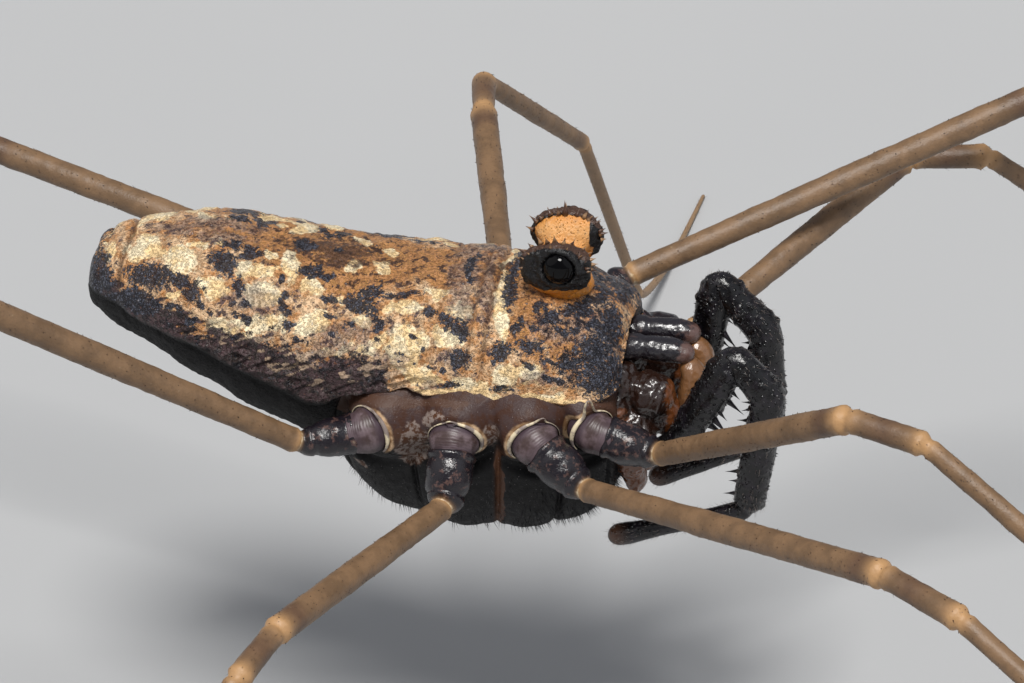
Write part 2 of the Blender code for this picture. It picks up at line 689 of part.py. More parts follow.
def build_leg(number, side, group):
    """Four lengths of one leg, each squared to the joints at its ends."""
    trochanter, femur, patella, tibia, metatarsus, floor_turn = POSE[(number, side)]
    along = [heading(*angles, side) for angles in (trochanter, femur, patella, tibia, metatarsus)]
    along.append(heading(floor_turn, 0, side))
    socket = trunk_point(mirrored(COXA_SOCKET[number], side))
    hip = socket + along[0] * (GAP + TROCHANTER_LENGTH)
    knee = hip + along[1] * FEMUR_LENGTH[number]
    patella_end = knee + along[2] * PATELLA_LENGTH[number]
    ankle = patella_end + along[3] * TIBIA_LENGTH[number]
    heel = ankle + along[4] * METATARSUS_LENGTH[number]
    label = f"leg_{number}_{SIDE_NAMES[side]}"

    knee_turn = bent(along[1], along[2])
    hip_turn = bent(along[0], along[1])
    facing = socket_facing(number, side)
    thigh = [socket + facing * GAP, socket + facing * (GAP + 0.12),
             hip - along[0] * 0.36, hip - along[0] * 0.16, hip + hip_turn * 0.06]
    thigh += run_between(hip, along[1], knee, knee_turn)[1:]
    radii = (TROCHANTER_RADIUS - 0.05, TROCHANTER_RADIUS, TROCHANTER_RADIUS, TROCHANTER_RADIUS - 0.06,
             HIP_RADIUS, LEG_RADIUS, LEG_RADIUS + 0.01, LEG_RADIUS, LEG_RADIUS + 0.02, KNEE_RADIUS)
    tube_node(f"{label}_femur", thigh, radii, "femur_shell", group)

    mid_turn = bent(along[2], along[3])
    ankle_turn = bent(along[3], along[4])
    shank = [knee + knee_turn * GAP / 2, knee + knee_turn * (GAP / 2 + KNUCKLE),
             knee.lerp(patella_end, 0.6), patella_end - mid_turn * 0.1]
    shank += run_between(patella_end, along[3], ankle, ankle_turn)[2:]
    radii = (LEG_RADIUS, KNEE_RADIUS, LEG_RADIUS + 0.02, KNEE_RADIUS,
             LEG_RADIUS, LEG_RADIUS, LEG_RADIUS, LEG_RADIUS)
    tube_node(f"{label}_tibia", shank, radii, "tibia_shell", group)

    tarsus_run = tarsus_path(heel, along[4], TARSUS_LENGTH[number], along[5])
    heel_turn = bent(along[4], tarsus_run[2] - tarsus_run[1])
    tarsus_run = tarsus_path(heel, heel_turn, TARSUS_LENGTH[number], along[5])
    run = run_between(ankle, ankle_turn, heel, heel_turn)
    tube_node(f"{label}_metatarsus", run, [LEG_RADIUS] * len(run), "metatarsus_shell", group)

    count = len(tarsus_run)
    taper = [LEG_RADIUS] * (count - 2) + [LEG_RADIUS * 0.86, TIP_RADIUS]
    for spot, radius in zip(tarsus_run[-2:], taper[-2:]):
        spot.z = max(radius - SOLE_DEPTH, 0.05)
    bm = flat_soled(tube_mesh(tarsus_run, taper))
    mesh_object(f"{label}_tarsus", bm, "tarsus_shell", group, tarsus_run[0])


def centre_on_floor(group):
    """Hang every node from one empty, placed so that the whole stands centred over the origin."""
    bpy.context.view_layer.update()
    low = [math.inf, math.inf]
    high = [-math.inf, -math.inf]
    for node in group.objects:
        for corner in node.bound_box:
            place = node.matrix_world @ Vector(corner)
            for axis in (0, 1):
                low[axis] = min(low[axis], place[axis])
                high[axis] = max(high[axis], place[axis])
    root = bpy.data.objects.new("harvestman_root", None)
    root.empty_display_size = 2 * MM
    root.location = (-(low[0] + high[0]) / 2, -(low[1] + high[1]) / 2, 0.0)
    nodes = list(group.objects)
    group.objects.link(root)
    for node in nodes:
        node.parent = root


def main():
    clear_scene()
    group = new_collection(COLLECTION)
    cutters = new_collection(CUTTERS)
    build_trunk(group)
    build_plate(group)
    build_coxae(group)
    build_mound(group, cutters)
    build_jaws(group, cutters)
    build_feelers(group, cutters)
    for number, side in POSE:
        build_leg(number, side, group)
    centre_on_floor(group)


main()
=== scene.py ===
"""A standing harvestman as a life-size museum model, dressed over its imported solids.

The animal faces +X, its left side is +Y and the floor is z = 0. Tables give millimetres in the
body's own frame, whose origin lies on the body axis, and picture marks in pixels of the frame.
"""
import math
import random

import bmesh
import bpy
import numpy as np
from bpy.props import FloatProperty, FloatVectorProperty, IntProperty, PointerProperty
from mathutils import Matrix, Vector


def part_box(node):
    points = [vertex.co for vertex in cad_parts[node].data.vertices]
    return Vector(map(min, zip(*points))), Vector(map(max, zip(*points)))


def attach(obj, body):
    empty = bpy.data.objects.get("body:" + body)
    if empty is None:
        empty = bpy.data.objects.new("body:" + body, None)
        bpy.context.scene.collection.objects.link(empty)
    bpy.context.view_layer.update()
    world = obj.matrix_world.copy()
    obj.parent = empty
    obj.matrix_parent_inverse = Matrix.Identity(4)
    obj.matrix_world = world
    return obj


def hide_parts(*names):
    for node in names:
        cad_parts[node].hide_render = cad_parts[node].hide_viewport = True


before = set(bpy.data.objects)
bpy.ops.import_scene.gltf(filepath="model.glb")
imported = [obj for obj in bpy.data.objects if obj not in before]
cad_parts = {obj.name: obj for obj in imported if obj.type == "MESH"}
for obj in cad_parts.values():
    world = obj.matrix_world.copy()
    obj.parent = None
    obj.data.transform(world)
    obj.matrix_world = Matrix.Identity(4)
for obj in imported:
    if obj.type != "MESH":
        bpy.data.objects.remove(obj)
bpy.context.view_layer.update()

bl_info = {
    "name": "Harvestman model",
    "version": (1, 0, 0),
    "blender": (4, 5, 0),
    "location": "View3D > Sidebar > Harvestman",
    "description": "Builds a standing harvestman over its packed solids",
    "category": "Add Mesh",
}

MM = 0.001
SIDES = {"left": 1, "right": -1}

# The body axis runs level at this height, and the hind end lies this far behind the frame's origin
AXIS_HEIGHT = 8.5
REAR_END = -4.52
TRUNK_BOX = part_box("opisthosoma")
ORIGIN = np.array((
    TRUNK_BOX[0].x / MM - REAR_END,
    (TRUNK_BOX[0].y + TRUNK_BOX[1].y) / 2 / MM,
    AXIS_HEIGHT,
))

# Camera: turned towards the head, looking down, across this many millimetres at the target
VIEW_TURN = math.radians(10)
VIEW_DROP = math.radians(30)
VIEW_ANGLE = math.radians(7.5)
VIEW_WIDTH = 17.0
VIEW_TARGET = np.array((2.62, 0.0, 0.06))
PICTURE = (1024, 683)

# How blunt the trunk's skin ends: where each round starts, and its length
REAR_ROUND = (-4.36, 0.16)
FRONT_ROUND = (4.44, 0.18)
TRUNK_AROUND = 112
# Trunk stations: along, half width, top, bottom
TRUNK = (
    (-4.52, 0.36, 1.00, 0.50),
    (-4.42, 0.56, 1.20, 0.30),
    (-4.15, 0.86, 1.40, 0.05),
    (-3.70, 1.14, 1.57, -0.16),
    (-3.10, 1.43, 1.68, -0.44),
    (-2.40, 1.70, 1.73, -0.80),
    (-1.60, 1.88, 1.66, -1.16),
    (-0.90, 1.97, 1.56, -1.42),
    (-0.40, 2.00, 1.50, -1.50),
    (-0.10, 2.00, 1.48, -1.20),
    (0.10, 1.99, 1.46, -0.46),
    (0.60, 1.96, 1.44, -0.30),
    (1.40, 1.92, 1.43, -0.30),
    (2.20, 1.89, 1.43, -0.30),
    (2.90, 1.87, 1.42, -0.30),
    (3.40, 1.82, 1.38, -0.30),
    (3.90, 1.71, 1.25, -0.30),
    (4.30, 1.56, 1.04, -0.27),
    (4.50, 1.44, 0.88, -0.22),
    (4.62, 1.30, 0.72, -0.12),
)
# Height of the shield's lower edge along the body
EDGE = (
    (-4.52, 0.78), (-4.15, 0.82), (-3.60, 0.71), (-2.52, 0.54), (-1.46, 0.22), (-0.70, -0.05),
    (-0.26, -0.20), (0.07, -0.10), (0.57, 0.00), (0.95, 0.08), (1.20, 0.16), (1.47, 0.06),
    (1.81, 0.09), (2.21, 0.02), (2.38, -0.12), (2.75, -0.13), (3.02, 0.03), (3.25, 0.13),
    (3.48, 0.04), (3.80, 0.01), (4.20, 0.03), (4.62, 0.12),
)
# How far the wall under the shield's edge stands back from it
UNDERCUT = (
    (-4.52, 0.02), (-4.10, 0.06), (-3.40, 0.13), (-2.00, 0.15), (-0.60, 0.14), (-0.10, 0.22),
    (0.50, 0.30), (1.10, 0.22), (2.00, 0.13), (3.50, 0.13), (4.62, 0.16),
)
# Cross grooves of the shield: along, depth, half width, how far their sides lag behind
GROOVES = (
    (-4.20, 0.030, 0.035, 0.00), (-3.80, 0.060, 0.045, 0.05), (-3.15, 0.022, 0.050, 0.10),
    (-2.45, 0.020, 0.050, 0.15), (-1.65, 0.018, 0.055, 0.20), (-0.80, 0.014, 0.055, 0.22),
    (0.10, 0.012, 0.055, 0.20), (0.95, 0.014, 0.050, 0.12), (1.64, 0.025, 0.045, 0.06),
    (2.19, 0.040, 0.034, 0.02), (2.44, 0.045, 0.034, 0.02),
)

# Marks on the shield as they stand in the frame: across, down, half width, half height, turn
DARK_MARKS = (
    (224, 262, 15, 13, 20), (238, 286, 7, 12, -15), (150, 276, 24, 14, 8), (180, 280, 17, 7, 10),
    (194, 290, 9, 12, 0), (174, 306, 10, 5, 10), (190, 320, 7, 5, 0), (198, 306, 5, 4, 0),
    (207, 312, 5, 4, 0), (234, 303, 5, 4, 0), (246, 303, 5, 5, 0), (236, 318, 5, 5, 0),
    (246, 322, 5, 5, 0), (236, 337, 4, 3, 0), (280, 277, 4, 4, 0), (285, 294, 5, 5, 0),
    (281, 301, 5, 7, 0), (284, 309, 7, 5, 0), (288, 316, 5, 4, 0), (288, 328, 5, 5, 0),
    (293, 343, 7, 4, 0), (310, 270, 13, 6, -10), (328, 277, 9, 6, 0), (328, 300, 8, 5, 30),
    (328, 317, 6, 4, 20), (347, 325, 6, 5, 0), (331, 334, 5, 4, 0), (358, 303, 20, 10, 8),
    (370, 293, 12, 7, 0), (378, 316, 5, 11, -15), (377, 326, 6, 5, 0), (378, 338, 4, 3, 0),
    (415, 339, 6, 3, 8), (424, 351, 4, 3, 0), (403, 351, 3, 2, 0), (417, 364, 3, 2, 0),
    (399, 362, 3, 2, 0), (430, 367, 4, 2, 0), (445, 370, 3, 3, 0), (430, 312, 9, 6, 30),
    (404, 295, 20, 4, -8), (446, 322, 9, 6, 30), (462, 330, 12, 8, 20), (461, 359, 9, 11, 25),
    (448, 383, 13, 5, -8), (501, 390, 12, 4, 8), (512, 288, 8, 19, 5), (540, 307, 9, 7, 0),
    (552, 320, 7, 9, -30), (519, 325, 5, 12, 25), (575, 311, 20, 8, -5), (503, 353, 13, 9, -30),
    (531, 346, 16, 7, 10), (552, 381, 14, 4, 12), (570, 366, 18, 5, -35), (604, 374, 26, 20, 0),
    (592, 352, 18, 16, 0), (612, 328, 10, 26, 0), (526, 364, 10, 3, 35), (284, 237, 15, 6, 10),
    (306, 246, 10, 5, 0), (230, 243, 12, 4, 10), (250, 254, 16, 6, -5), (97, 276, 15, 32, 0),
    (140, 300, 20, 13, 25), (118, 302, 12, 16, 20), (345, 247, 14, 5, 0), (470, 268, 5, 16, 5),
    (596, 300, 12, 8, 0), (574, 330, 8, 6, 0), (588, 284, 10, 5, 15), (560, 334, 9, 5, 20),
    (534, 330, 6, 4, 0), (600, 330, 14, 10, 40), (586, 386, 14, 5, 0), (546, 362, 9, 4, 20),
)
PLUM_MARKS = (
    (606, 350, 24, 62, 0), (578, 368, 26, 20, 0), (586, 318, 22, 16, 0), (545, 318, 16, 12, 0),
)
PALE_MARKS = (
    (146, 249, 17, 13, 0), (180, 262, 17, 15, 20), (212, 286, 17, 10, 20), (258, 269, 22, 7, 0),
    (289, 266, 9, 14, 0), (310, 288, 13, 10, 15), (173, 293, 9, 5, 10), (232, 326, 28, 8, 8),
    (270, 322, 15, 9, 0), (250, 341, 10, 5, 0), (262, 294, 20, 13, 0), (360, 320, 12, 7, 20),
    (403, 309, 19, 9, 0), (446, 338, 16, 11, 15), (406, 348, 20, 22, -15), (459, 311, 11, 8, 0),
    (434, 292, 11, 6, 0), (382, 269, 9, 5, 0), (512, 258, 6, 8, 0), (503, 300, 6, 40, 0),
    (470, 388, 22, 10, 5), (527, 371, 14, 10, 0), (490, 402, 18, 7, 0), (548, 396, 16, 4, 0),
    (110, 252, 5, 8, 0), (333, 352, 22, 4, -30), (300, 362, 16, 3, -30), (425, 376, 24, 9, 20),
    (310, 325, 20, 10, -20), (366, 347, 20, 7, -30), (199, 243, 9, 4, 0), (222, 240, 7, 3, 0),
    (505, 375, 14, 12, 0), (270, 252, 8, 3, 10), (352, 270, 9, 5, 0), (340, 300, 5, 4, 0),
)
RUST_MARKS = (
    (545, 300, 30, 9, 0), (572, 345, 26, 22, 0), (530, 325, 24, 18, 0), (606, 290, 18, 11, 0),
    (330, 240, 60, 22, 8), (220, 222, 60, 12, 0), (420, 262, 60, 22, 8), (440, 345, 9, 8, 20),
    (505, 270, 12, 24, 0), (614, 395, 8, 8, 0), (560, 280, 44, 22, 0), (350, 285, 40, 10, 0),
)
GREY_MARKS = (
    (462, 285, 20, 46, 5), (487, 290, 8, 46, 4), (340, 338, 50, 20, -20), (448, 360, 16, 10, 30),
    (255, 300, 34, 16, 0), (600, 345, 22, 44, 0), (560, 330, 40, 18, 0), (420, 392, 46, 8, 0),
    (200, 232, 70, 9, 6), (540, 384, 30, 8, 0), (380, 362, 24, 12, 0),
)

# Leg bases: where they leave the middle plate, and where their sockets stand at the flank
COXA_FOOT = {1: 3.66, 2: 2.88, 3: 1.98, 4: 0.98}
COXA_SOCKET = {
    1: (4.30, 1.72, -0.52), 2: (3.38, 2.06, -0.62), 3: (2.03, 2.15, -0.68), 4: (0.57, 2.12, -0.63),
}
SOCKET_RADIUS = {1: 0.37, 2: 0.41, 3: 0.42, 4: 0.40}
# Each socket's rim is broad on one side; its peak stands this high and leans by these degrees
RIM_SIDE = {1: -1, 2: -1, 3: 1, 4: 1}
SOCKET_PEAK = {1: (0.36, -16), 2: (0.15, 6), 3: (0.13, 2), 4: (0.08, -30)}
FACE_TURN = 0.50
# Seams between the leg bases: at the middle plate and at the flank
SEAMS = ((4.02, 4.86), (3.27, 3.86), (2.43, 2.72), (1.48, 1.28), (0.46, -0.02))
# Outline of the block of leg bases, seen from behind, for a block of full depth
BLOCK_OUTLINE = (
    (0.0, 1.62, 0.24), (0.10, 1.78, 0.06), (0.20, 1.87, -0.28), (0.34, 1.92, -0.62),
    (0.46, 1.92, -1.02), (0.58, 1.82, -1.60), (0.70, 1.50, -2.34), (0.80, 1.10, -2.76),
    (0.88, 0.68, -2.84), (0.93, 0.38, -2.80), (1.0, 0.0, -2.80),
)
BLOCK_SIZES = (
    (-0.22, 0.70, 0.55), (-0.05, 0.90, 0.68), (0.20, 0.97, 0.78), (0.93, 1.01, 0.94),
    (1.80, 1.02, 1.03), (2.60, 1.01, 1.03), (3.40, 0.97, 1.00), (4.00, 0.88, 0.92),
    (4.40, 0.78, 0.84), (4.62, 0.64, 0.72),
)
PALE_FLANK_MARKS = (
    (412, 444, 18, 20, 0), (357, 468, 12, 10, 30), (432, 418, 12, 6, 0), (626, 440, 12, 8, 0),
    (490, 436, 10, 12, 0),
)
RUST_FLANK_MARKS = ((608, 408, 22, 12, 0), (500, 484, 4, 40, -4), (350, 402, 60, 9, 0),
                    (430, 404, 40, 4, 0), (398, 438, 6, 12, 20))

# Eye mound
MOUND_ALONG = 3.45
LOBE_OFFSET = 0.54
LOBE_LEVEL = 1.83
LOBE_HALF = (0.62, 0.30, 0.50)
LOBE_SQUARE = 2.2
LOBE_LEAN = 12.0
LOBE_FLAT = 0.75
EYE = (3.53, 0.73, 1.95)
# Teeth of a crest: place round the lobe in degrees, and height
CREST = ((166, 0.09), (148, 0.13), (134, 0.07), (118, 0.11), (103, 0.07), (90, 0.18), (76, 0.08),
         (64, 0.13), (50, 0.09), (38, 0.12), (26, 0.09), (14, 0.10), (2, 0.07))

# Feelers: joints on each side, close to those of the solids
FEELER_BASE = (5.30, 1.02, -1.14)
FEELER_KNEE = {1: (5.90, 1.10, 0.92), -1: (6.50, 1.10, 0.76)}
FEELER_PATELLA = {1: (6.72, 1.08, 0.02), -1: (7.10, 1.08, 0.08)}
FEELER_SHANK = {1: (6.84, 1.02, -2.02), -1: (6.76, 1.02, -2.14)}
FEELER_TIP = {1: (4.80, 0.90, -2.90), -1: (4.40, 0.90, -3.00)}
# Spines under a feeler: share of the way along, and height as a share of the longest
FEMUR_SPINES = ((0.18, 0.55), (0.26, 0.9), (0.33, 0.7), (0.42, 1.0), (0.52, 0.8), (0.60, 0.45),
                (0.70, 0.9), (0.80, 0.4), (0.90, 0.55))
SHANK_SPINES = ((0.08, 0.35), (0.22, 0.5), (0.34, 0.4), (0.46, 0.95), (0.55, 0.35),
                (0.66, 0.55), (0.76, 0.4), (0.86, 0.5))
SPINE_LEAN = {"femur": (0.72, 0, -0.70), "shank": (-0.98, 0, -0.20)}

# Legs: lengths for legs 1 to 4, and the directions of their segments as in the solids
TROCHANTER = 1.10
FEMUR = {1: 5.3, 2: 7.8, 3: 5.3, 4: 7.4}
PATELLA = {1: 1.4, 2: 1.7, 3: 1.4, 4: 1.6}
TIBIA = {1: 4.3, 2: 6.8, 3: 4.2, 4: 5.6}
METATARSUS = {1: 4.8, 2: 7.0, 3: 5.2, 4: 7.0}
TARSUS = {1: 5.6, 2: 8.6, 3: 6.0, 4: 7.4}
POSE = {
    (1, -1): ((84, -13), (50, 31), (70, -2), (70, -30), (62, -64), 50),
    (2, -1): ((62, -28), (48, 15), (52, -1), (63, -26), (56, -46), 44),
    (3, -1): ((-2, -48), (-20, 5), (-14, -3), (-38, -36), (-34, -58), -24),
    (4, -1): ((-72, -8), (-60, 34), (-58, 4), (-54, -40), (-50, -64), -40),
    (1, 1): ((64, -14), (38, 17), (80, 1), (60, -40), (52, -66), 44),
    (2, 1): ((54, 34), (62, 17), (58, -6), (54, -34), (48, -52), 34),
    (3, 1): ((-6, -6), (-14, 6), (-10, -5), (24, -40), (14, -60), 4),
    (4, 1): ((-70, 2), (-74, 8), (-70, -4), (-60, -26), (-54, -48), -44),
}
# Radii of a leg's segments at their start, middle and end
GIRTHS = {
    "femur": (0.200, 0.228, 0.235),
    "patella": (0.195, 0.205, 0.215),
    "tibia": (0.165, 0.175, 0.160),
    "metatarsus": (0.120, 0.110, 0.098),
    "tarsus": (0.078, 0.060, 0.036),
}


def tone(red, green, blue):
    """A linear colour from its screen values of 0 to 255."""
    parts = (red / 255, green / 255, blue / 255)
    return tuple(p / 12.92 if p <= 0.04045 else ((p + 0.055) / 1.055) ** 2.4 for p in parts)


def colour_property(name, description, value):
    return FloatVectorProperty(
        name=name, description=description, subtype="COLOR", size=3, min=0, max=1, default=value)


# Numbers over arrays of points

def steps(table, along):
    """Every column of a table after its first, smoothly read off at places along."""
    keys = np.array([row[0] for row in table], float)
    spot = np.clip(np.searchsorted(keys, along, side="right") - 1, 0, len(keys) - 2)
    span = keys[spot + 1] - keys[spot]
    share = np.clip((along - keys[spot]) / span, 0, 1)
    columns = []
    for column in range(1, len(table[0])):
        values = np.array([row[column] for row in table], float)
        slopes = np.gradient(values, keys)
        start, end = values[spot], values[spot + 1]
        rise, fall = slopes[spot] * span, slopes[spot + 1] * span
        columns.append(
            (2 * share**3 - 3 * share**2 + 1) * start + (share**3 - 2 * share**2 + share) * rise
            + (3 * share**2 - 2 * share**3) * end + (share**3 - share**2) * fall)
    return columns[0] if len(columns) == 1 else columns


def ease(values, low, high):
    """0 below low, 1 above high and a smooth rise between."""
    share = np.clip((values - low) / (high - low), 0, 1)
    return share * share * (3 - 2 * share)


def ripple(points, size, seed=0):
    """Smooth noise between -1 and 1 whose lumps are about this size."""
    place = points / size + 31.7 + seed * 17.31
    cell = np.floor(place).astype(np.int64)
    part = place - cell
    part = part * part * (3 - 2 * part)
    total = 0.0
    for corner in range(8):
        bits = np.array((corner & 1, corner >> 1 & 1, corner >> 2 & 1))
        spot = cell + bits
        key = spot[..., 0] * 374761393 + spot[..., 1] * 668265263 + spot[..., 2] * 2147483647
        key = (key ^ (key >> 13)) * 1274126177
        value = ((key ^ (key >> 16)) & 0xFFFF) / 32767.5 - 1
        total = total + value * np.prod(np.where(bits == 1, part, 1 - part), axis=-1)
    return total


def unit(vectors):
    return vectors / np.maximum(np.linalg.norm(vectors, axis=-1, keepdims=True), 1e-12)


def picture_place(points):
    """Where points of the body's frame fall in the picture, each on the side that faces it."""
    right = np.array((math.cos(VIEW_TURN), math.sin(VIEW_TURN), 0))
    up = np.array((
        -math.sin(VIEW_TURN) * math.sin(VIEW_DROP), math.cos(VIEW_TURN) * math.sin(VIEW_DROP),
        math.cos(VIEW_DROP)))
    ahead = np.cross(up, right)
    distance = VIEW_WIDTH / 2 / math.tan(VIEW_ANGLE / 2)
    scale = PICTURE[0] / 2 / math.tan(VIEW_ANGLE / 2)
    near = points * np.array((1, 0, 1)) - np.abs(points) * np.array((0, 1, 0)) - VIEW_TARGET
    depth = distance + near @ ahead
    return (
        PICTURE[0] / 2 + scale * (near @ right) / depth,
        PICTURE[1] / 2 - scale * (near @ up) / depth,
    )


def marked(points, marks, soft=0.45, wander=5.0, seed=0):
    """How strongly each point lies in one of the marks, whose outlines wander a little."""
    across, down = picture_place(points)
    across = (across + wander * ripple(points, 0.22, seed)
              + wander * 0.5 * ripple(points, 0.08, seed))
    down = (down + wander * ripple(points, 0.22, seed + 5)
            + wander * 0.5 * ripple(points, 0.08, seed + 5))
    level = np.zeros(points.shape[:-1])
    for centre, height, wide, tall, turn in marks:
        turn = math.radians(turn)
        ahead, below = across - centre, down - height
        first = (ahead * math.cos(turn) + below * math.sin(turn)) / wide
        second = (below * math.cos(turn) - ahead * math.sin(turn)) / tall
        reach = np.sqrt(first**2 + second**2)
        level = np.maximum(level, 1 - ease(reach, 1 - soft, 1 + soft))
    return level


def heading(forward, upward, side):
    """Direction of a leg segment on one side of the body."""
    turn, rise = math.radians(forward), math.radians(upward)
    return np.array((
        math.sin(turn) * math.cos(rise), side * math.cos(turn) * math.cos(rise), math.sin(rise)))


def mirrored(place, side):
    return np.array((place[0], place[1] * side, place[2]), float)


# Meshes

def raise_to_frame(points):
    """Points of the body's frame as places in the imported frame, in metres."""
    return (np.asarray(points, float) + ORIGIN) * MM


def new_piece(name, points, faces, material, replaced, slot, **fields):
    """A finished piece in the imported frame, smooth shaded, facing out and riding on the body."""
    mesh = bpy.data.meshes.new(name)
    mesh.from_pydata(raise_to_frame(points).tolist(), [], faces)
    for field, values in fields.items():
        data = mesh.attributes.new(field, "FLOAT", "POINT").data
        data.foreach_set("value", np.asarray(values, np.float32).ravel())
    finish_piece(name, mesh, material, replaced)


def new_skin(name, rings, material, replaced, slot, **fields):
    """A finished piece through closed rings, with each field's values on the rings."""
    points, faces = capped(rings)
    spread = {field: with_poles(np.broadcast_to(values, rings.shape[:2]))
              for field, values in fields.items()}
    new_piece(name, points, faces, material, replaced, slot, **spread)


def finish_piece(name, mesh, material, replaced):
    """Links a mesh as a piece that faces out, takes its material and rides on the body."""
    turn_outwards(mesh)
    mesh.shade_smooth()
    mesh.materials.clear()
    mesh.materials.append(material)
    piece = bpy.data.objects.new(name, mesh)
    bpy.context.scene.collection.objects.link(piece)
    if replaced:
        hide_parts(*replaced)
    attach(piece, "root")


def turn_outwards(mesh):
    bm = bmesh.new()
    bm.from_mesh(mesh)
    bmesh.ops.recalc_face_normals(bm, faces=bm.faces)
    bm.to_mesh(mesh)
    bm.free()


def capped(rings):
    """Points and faces of a closed skin through rings, with a fan to a pole at either end."""
    count, around = rings.shape[:2]
    points = np.concatenate((
        rings.reshape(-1, 3), rings[0].mean(0)[None], rings[-1].mean(0)[None]))
    here = np.arange(around)
    after = (here + 1) % around
    faces = []
    for ring in range(count - 1):
        low = ring * around
        high = low + around
        faces += np.stack((low + here, low + after, high + after, high + here), 1).tolist()
    pairs = list(zip(here.tolist(), after.tolist()))
    top = (count - 1) * around
    faces += [(len(points) - 2, b, a) for a, b in pairs]
    faces += [(len(points) - 1, top + a, top + b) for a, b in pairs]
    return points, faces


def with_poles(values):
    """Per-ring values as one list, the poles taking those of the end rings."""
    return np.concatenate((values.reshape(-1), [values[0].mean()], [values[-1].mean()]))


def ring_normals(rings):
    """Outward normals on a grid of closed rings."""
    along = np.gradient(rings, axis=0)
    around = np.roll(rings, -1, 1) - np.roll(rings, 1, 1)
    normal = unit(np.cross(along, around))
    outward = rings - rings.mean(1, keepdims=True)
    flip = np.sign((normal * outward).sum(-1, keepdims=True).mean(1, keepdims=True))
    return normal * np.where(flip == 0, 1, flip)


def eased_path(corners, reach):
    """A path through corners with each inner one rounded off."""
    corners = [np.asarray(corner, float) for corner in corners]
    path = [corners[0]]
    for before, corner, after in zip(corners, corners[1:], corners[2:]):
        back, ahead = before - corner, after - corner
        arrive = corner + back * min(0.45, reach / max(np.linalg.norm(back), 1e-9))
        leave = corner + ahead * min(0.45, reach / max(np.linalg.norm(ahead), 1e-9))
        for share in (0.0, 0.25, 0.5, 0.75, 1.0):
            path.append((1 - share)**2 * arrive + 2 * share * (1 - share) * corner
                        + share**2 * leave)
    path.append(corners[-1])
    return np.array(path)


def distances(path):
    """How far along a path each of its points lies."""
    return np.concatenate(([0], np.cumsum(np.linalg.norm(np.diff(path, axis=0), axis=1))))


def walk(path, spacing):
    """A path's points at even distances, with the distance of each."""
    lengths = distances(path)
    count = max(3, int(lengths[-1] / spacing))
    travelled = np.linspace(0, lengths[-1], count)
    points = np.stack([np.interp(travelled, lengths, path[:, axis]) for axis in range(3)], 1)
    for _ in range(2):
        points[1:-1] = (points[:-2] + 2 * points[1:-1] + points[2:]) / 4
    return points, travelled


def reached(path, travelled, joints):
    """How far along the path each joint is nearest."""
    return [travelled[np.argmin(np.linalg.norm(path - joint, axis=1))] for joint in joints]


def tube(points, radii, around, flatten=1.0):
    """Rings round a path that turn with it and never twist; flatten squeezes them upright."""
    ahead = unit(np.gradient(points, axis=0))
    side = unit(np.cross(ahead[0], np.array((0.02, 0.01, 1.0))))
    rings = []
    angles = 2 * np.pi * np.arange(around) / around
    for place, forward, radius in zip(points, ahead, radii):
        side = unit(side - forward * side.dot(forward))
        upright = np.cross(side, forward)
        rings.append(place + radius * (
            np.outer(np.cos(angles), side) + flatten * np.outer(np.sin(angles), upright)))
    return np.array(rings)


def rounded_ends(radii, travelled, start=0.0, end=0.0):
    """Radii that close in a round at either end over the given lengths."""
    radii = np.array(radii, float)
    if start:
        gone = np.clip(travelled / start, 0, 1)
        radii *= np.sqrt(np.clip(1 - (1 - gone)**2, 0.0004, 1))
    if end:
        left = np.clip((travelled[-1] - travelled) / end, 0, 1)
        radii *= np.sqrt(np.clip(1 - (1 - left)**2, 0.0004, 1))
    return radii


# Shader maths

class Value:
    """A shader socket that can be used in sums like a number."""

    def __init__(self, paint, socket):
        self.paint = paint
        self.socket = socket

    def maths(self, operation, first, second=0.0):
        return self.paint.value("ShaderNodeMath", "Value", {"operation": operation},
                                {0: first, 1: second})

    def __add__(self, other):
        return self.maths("ADD", self, other)

    def __sub__(self, other):
        return self.maths("SUBTRACT", self, other)

    def __rsub__(self, other):
        return self.maths("SUBTRACT", other, self)

    def __mul__(self, other):
        return self.maths("MULTIPLY", self, other)

    __radd__ = __add__


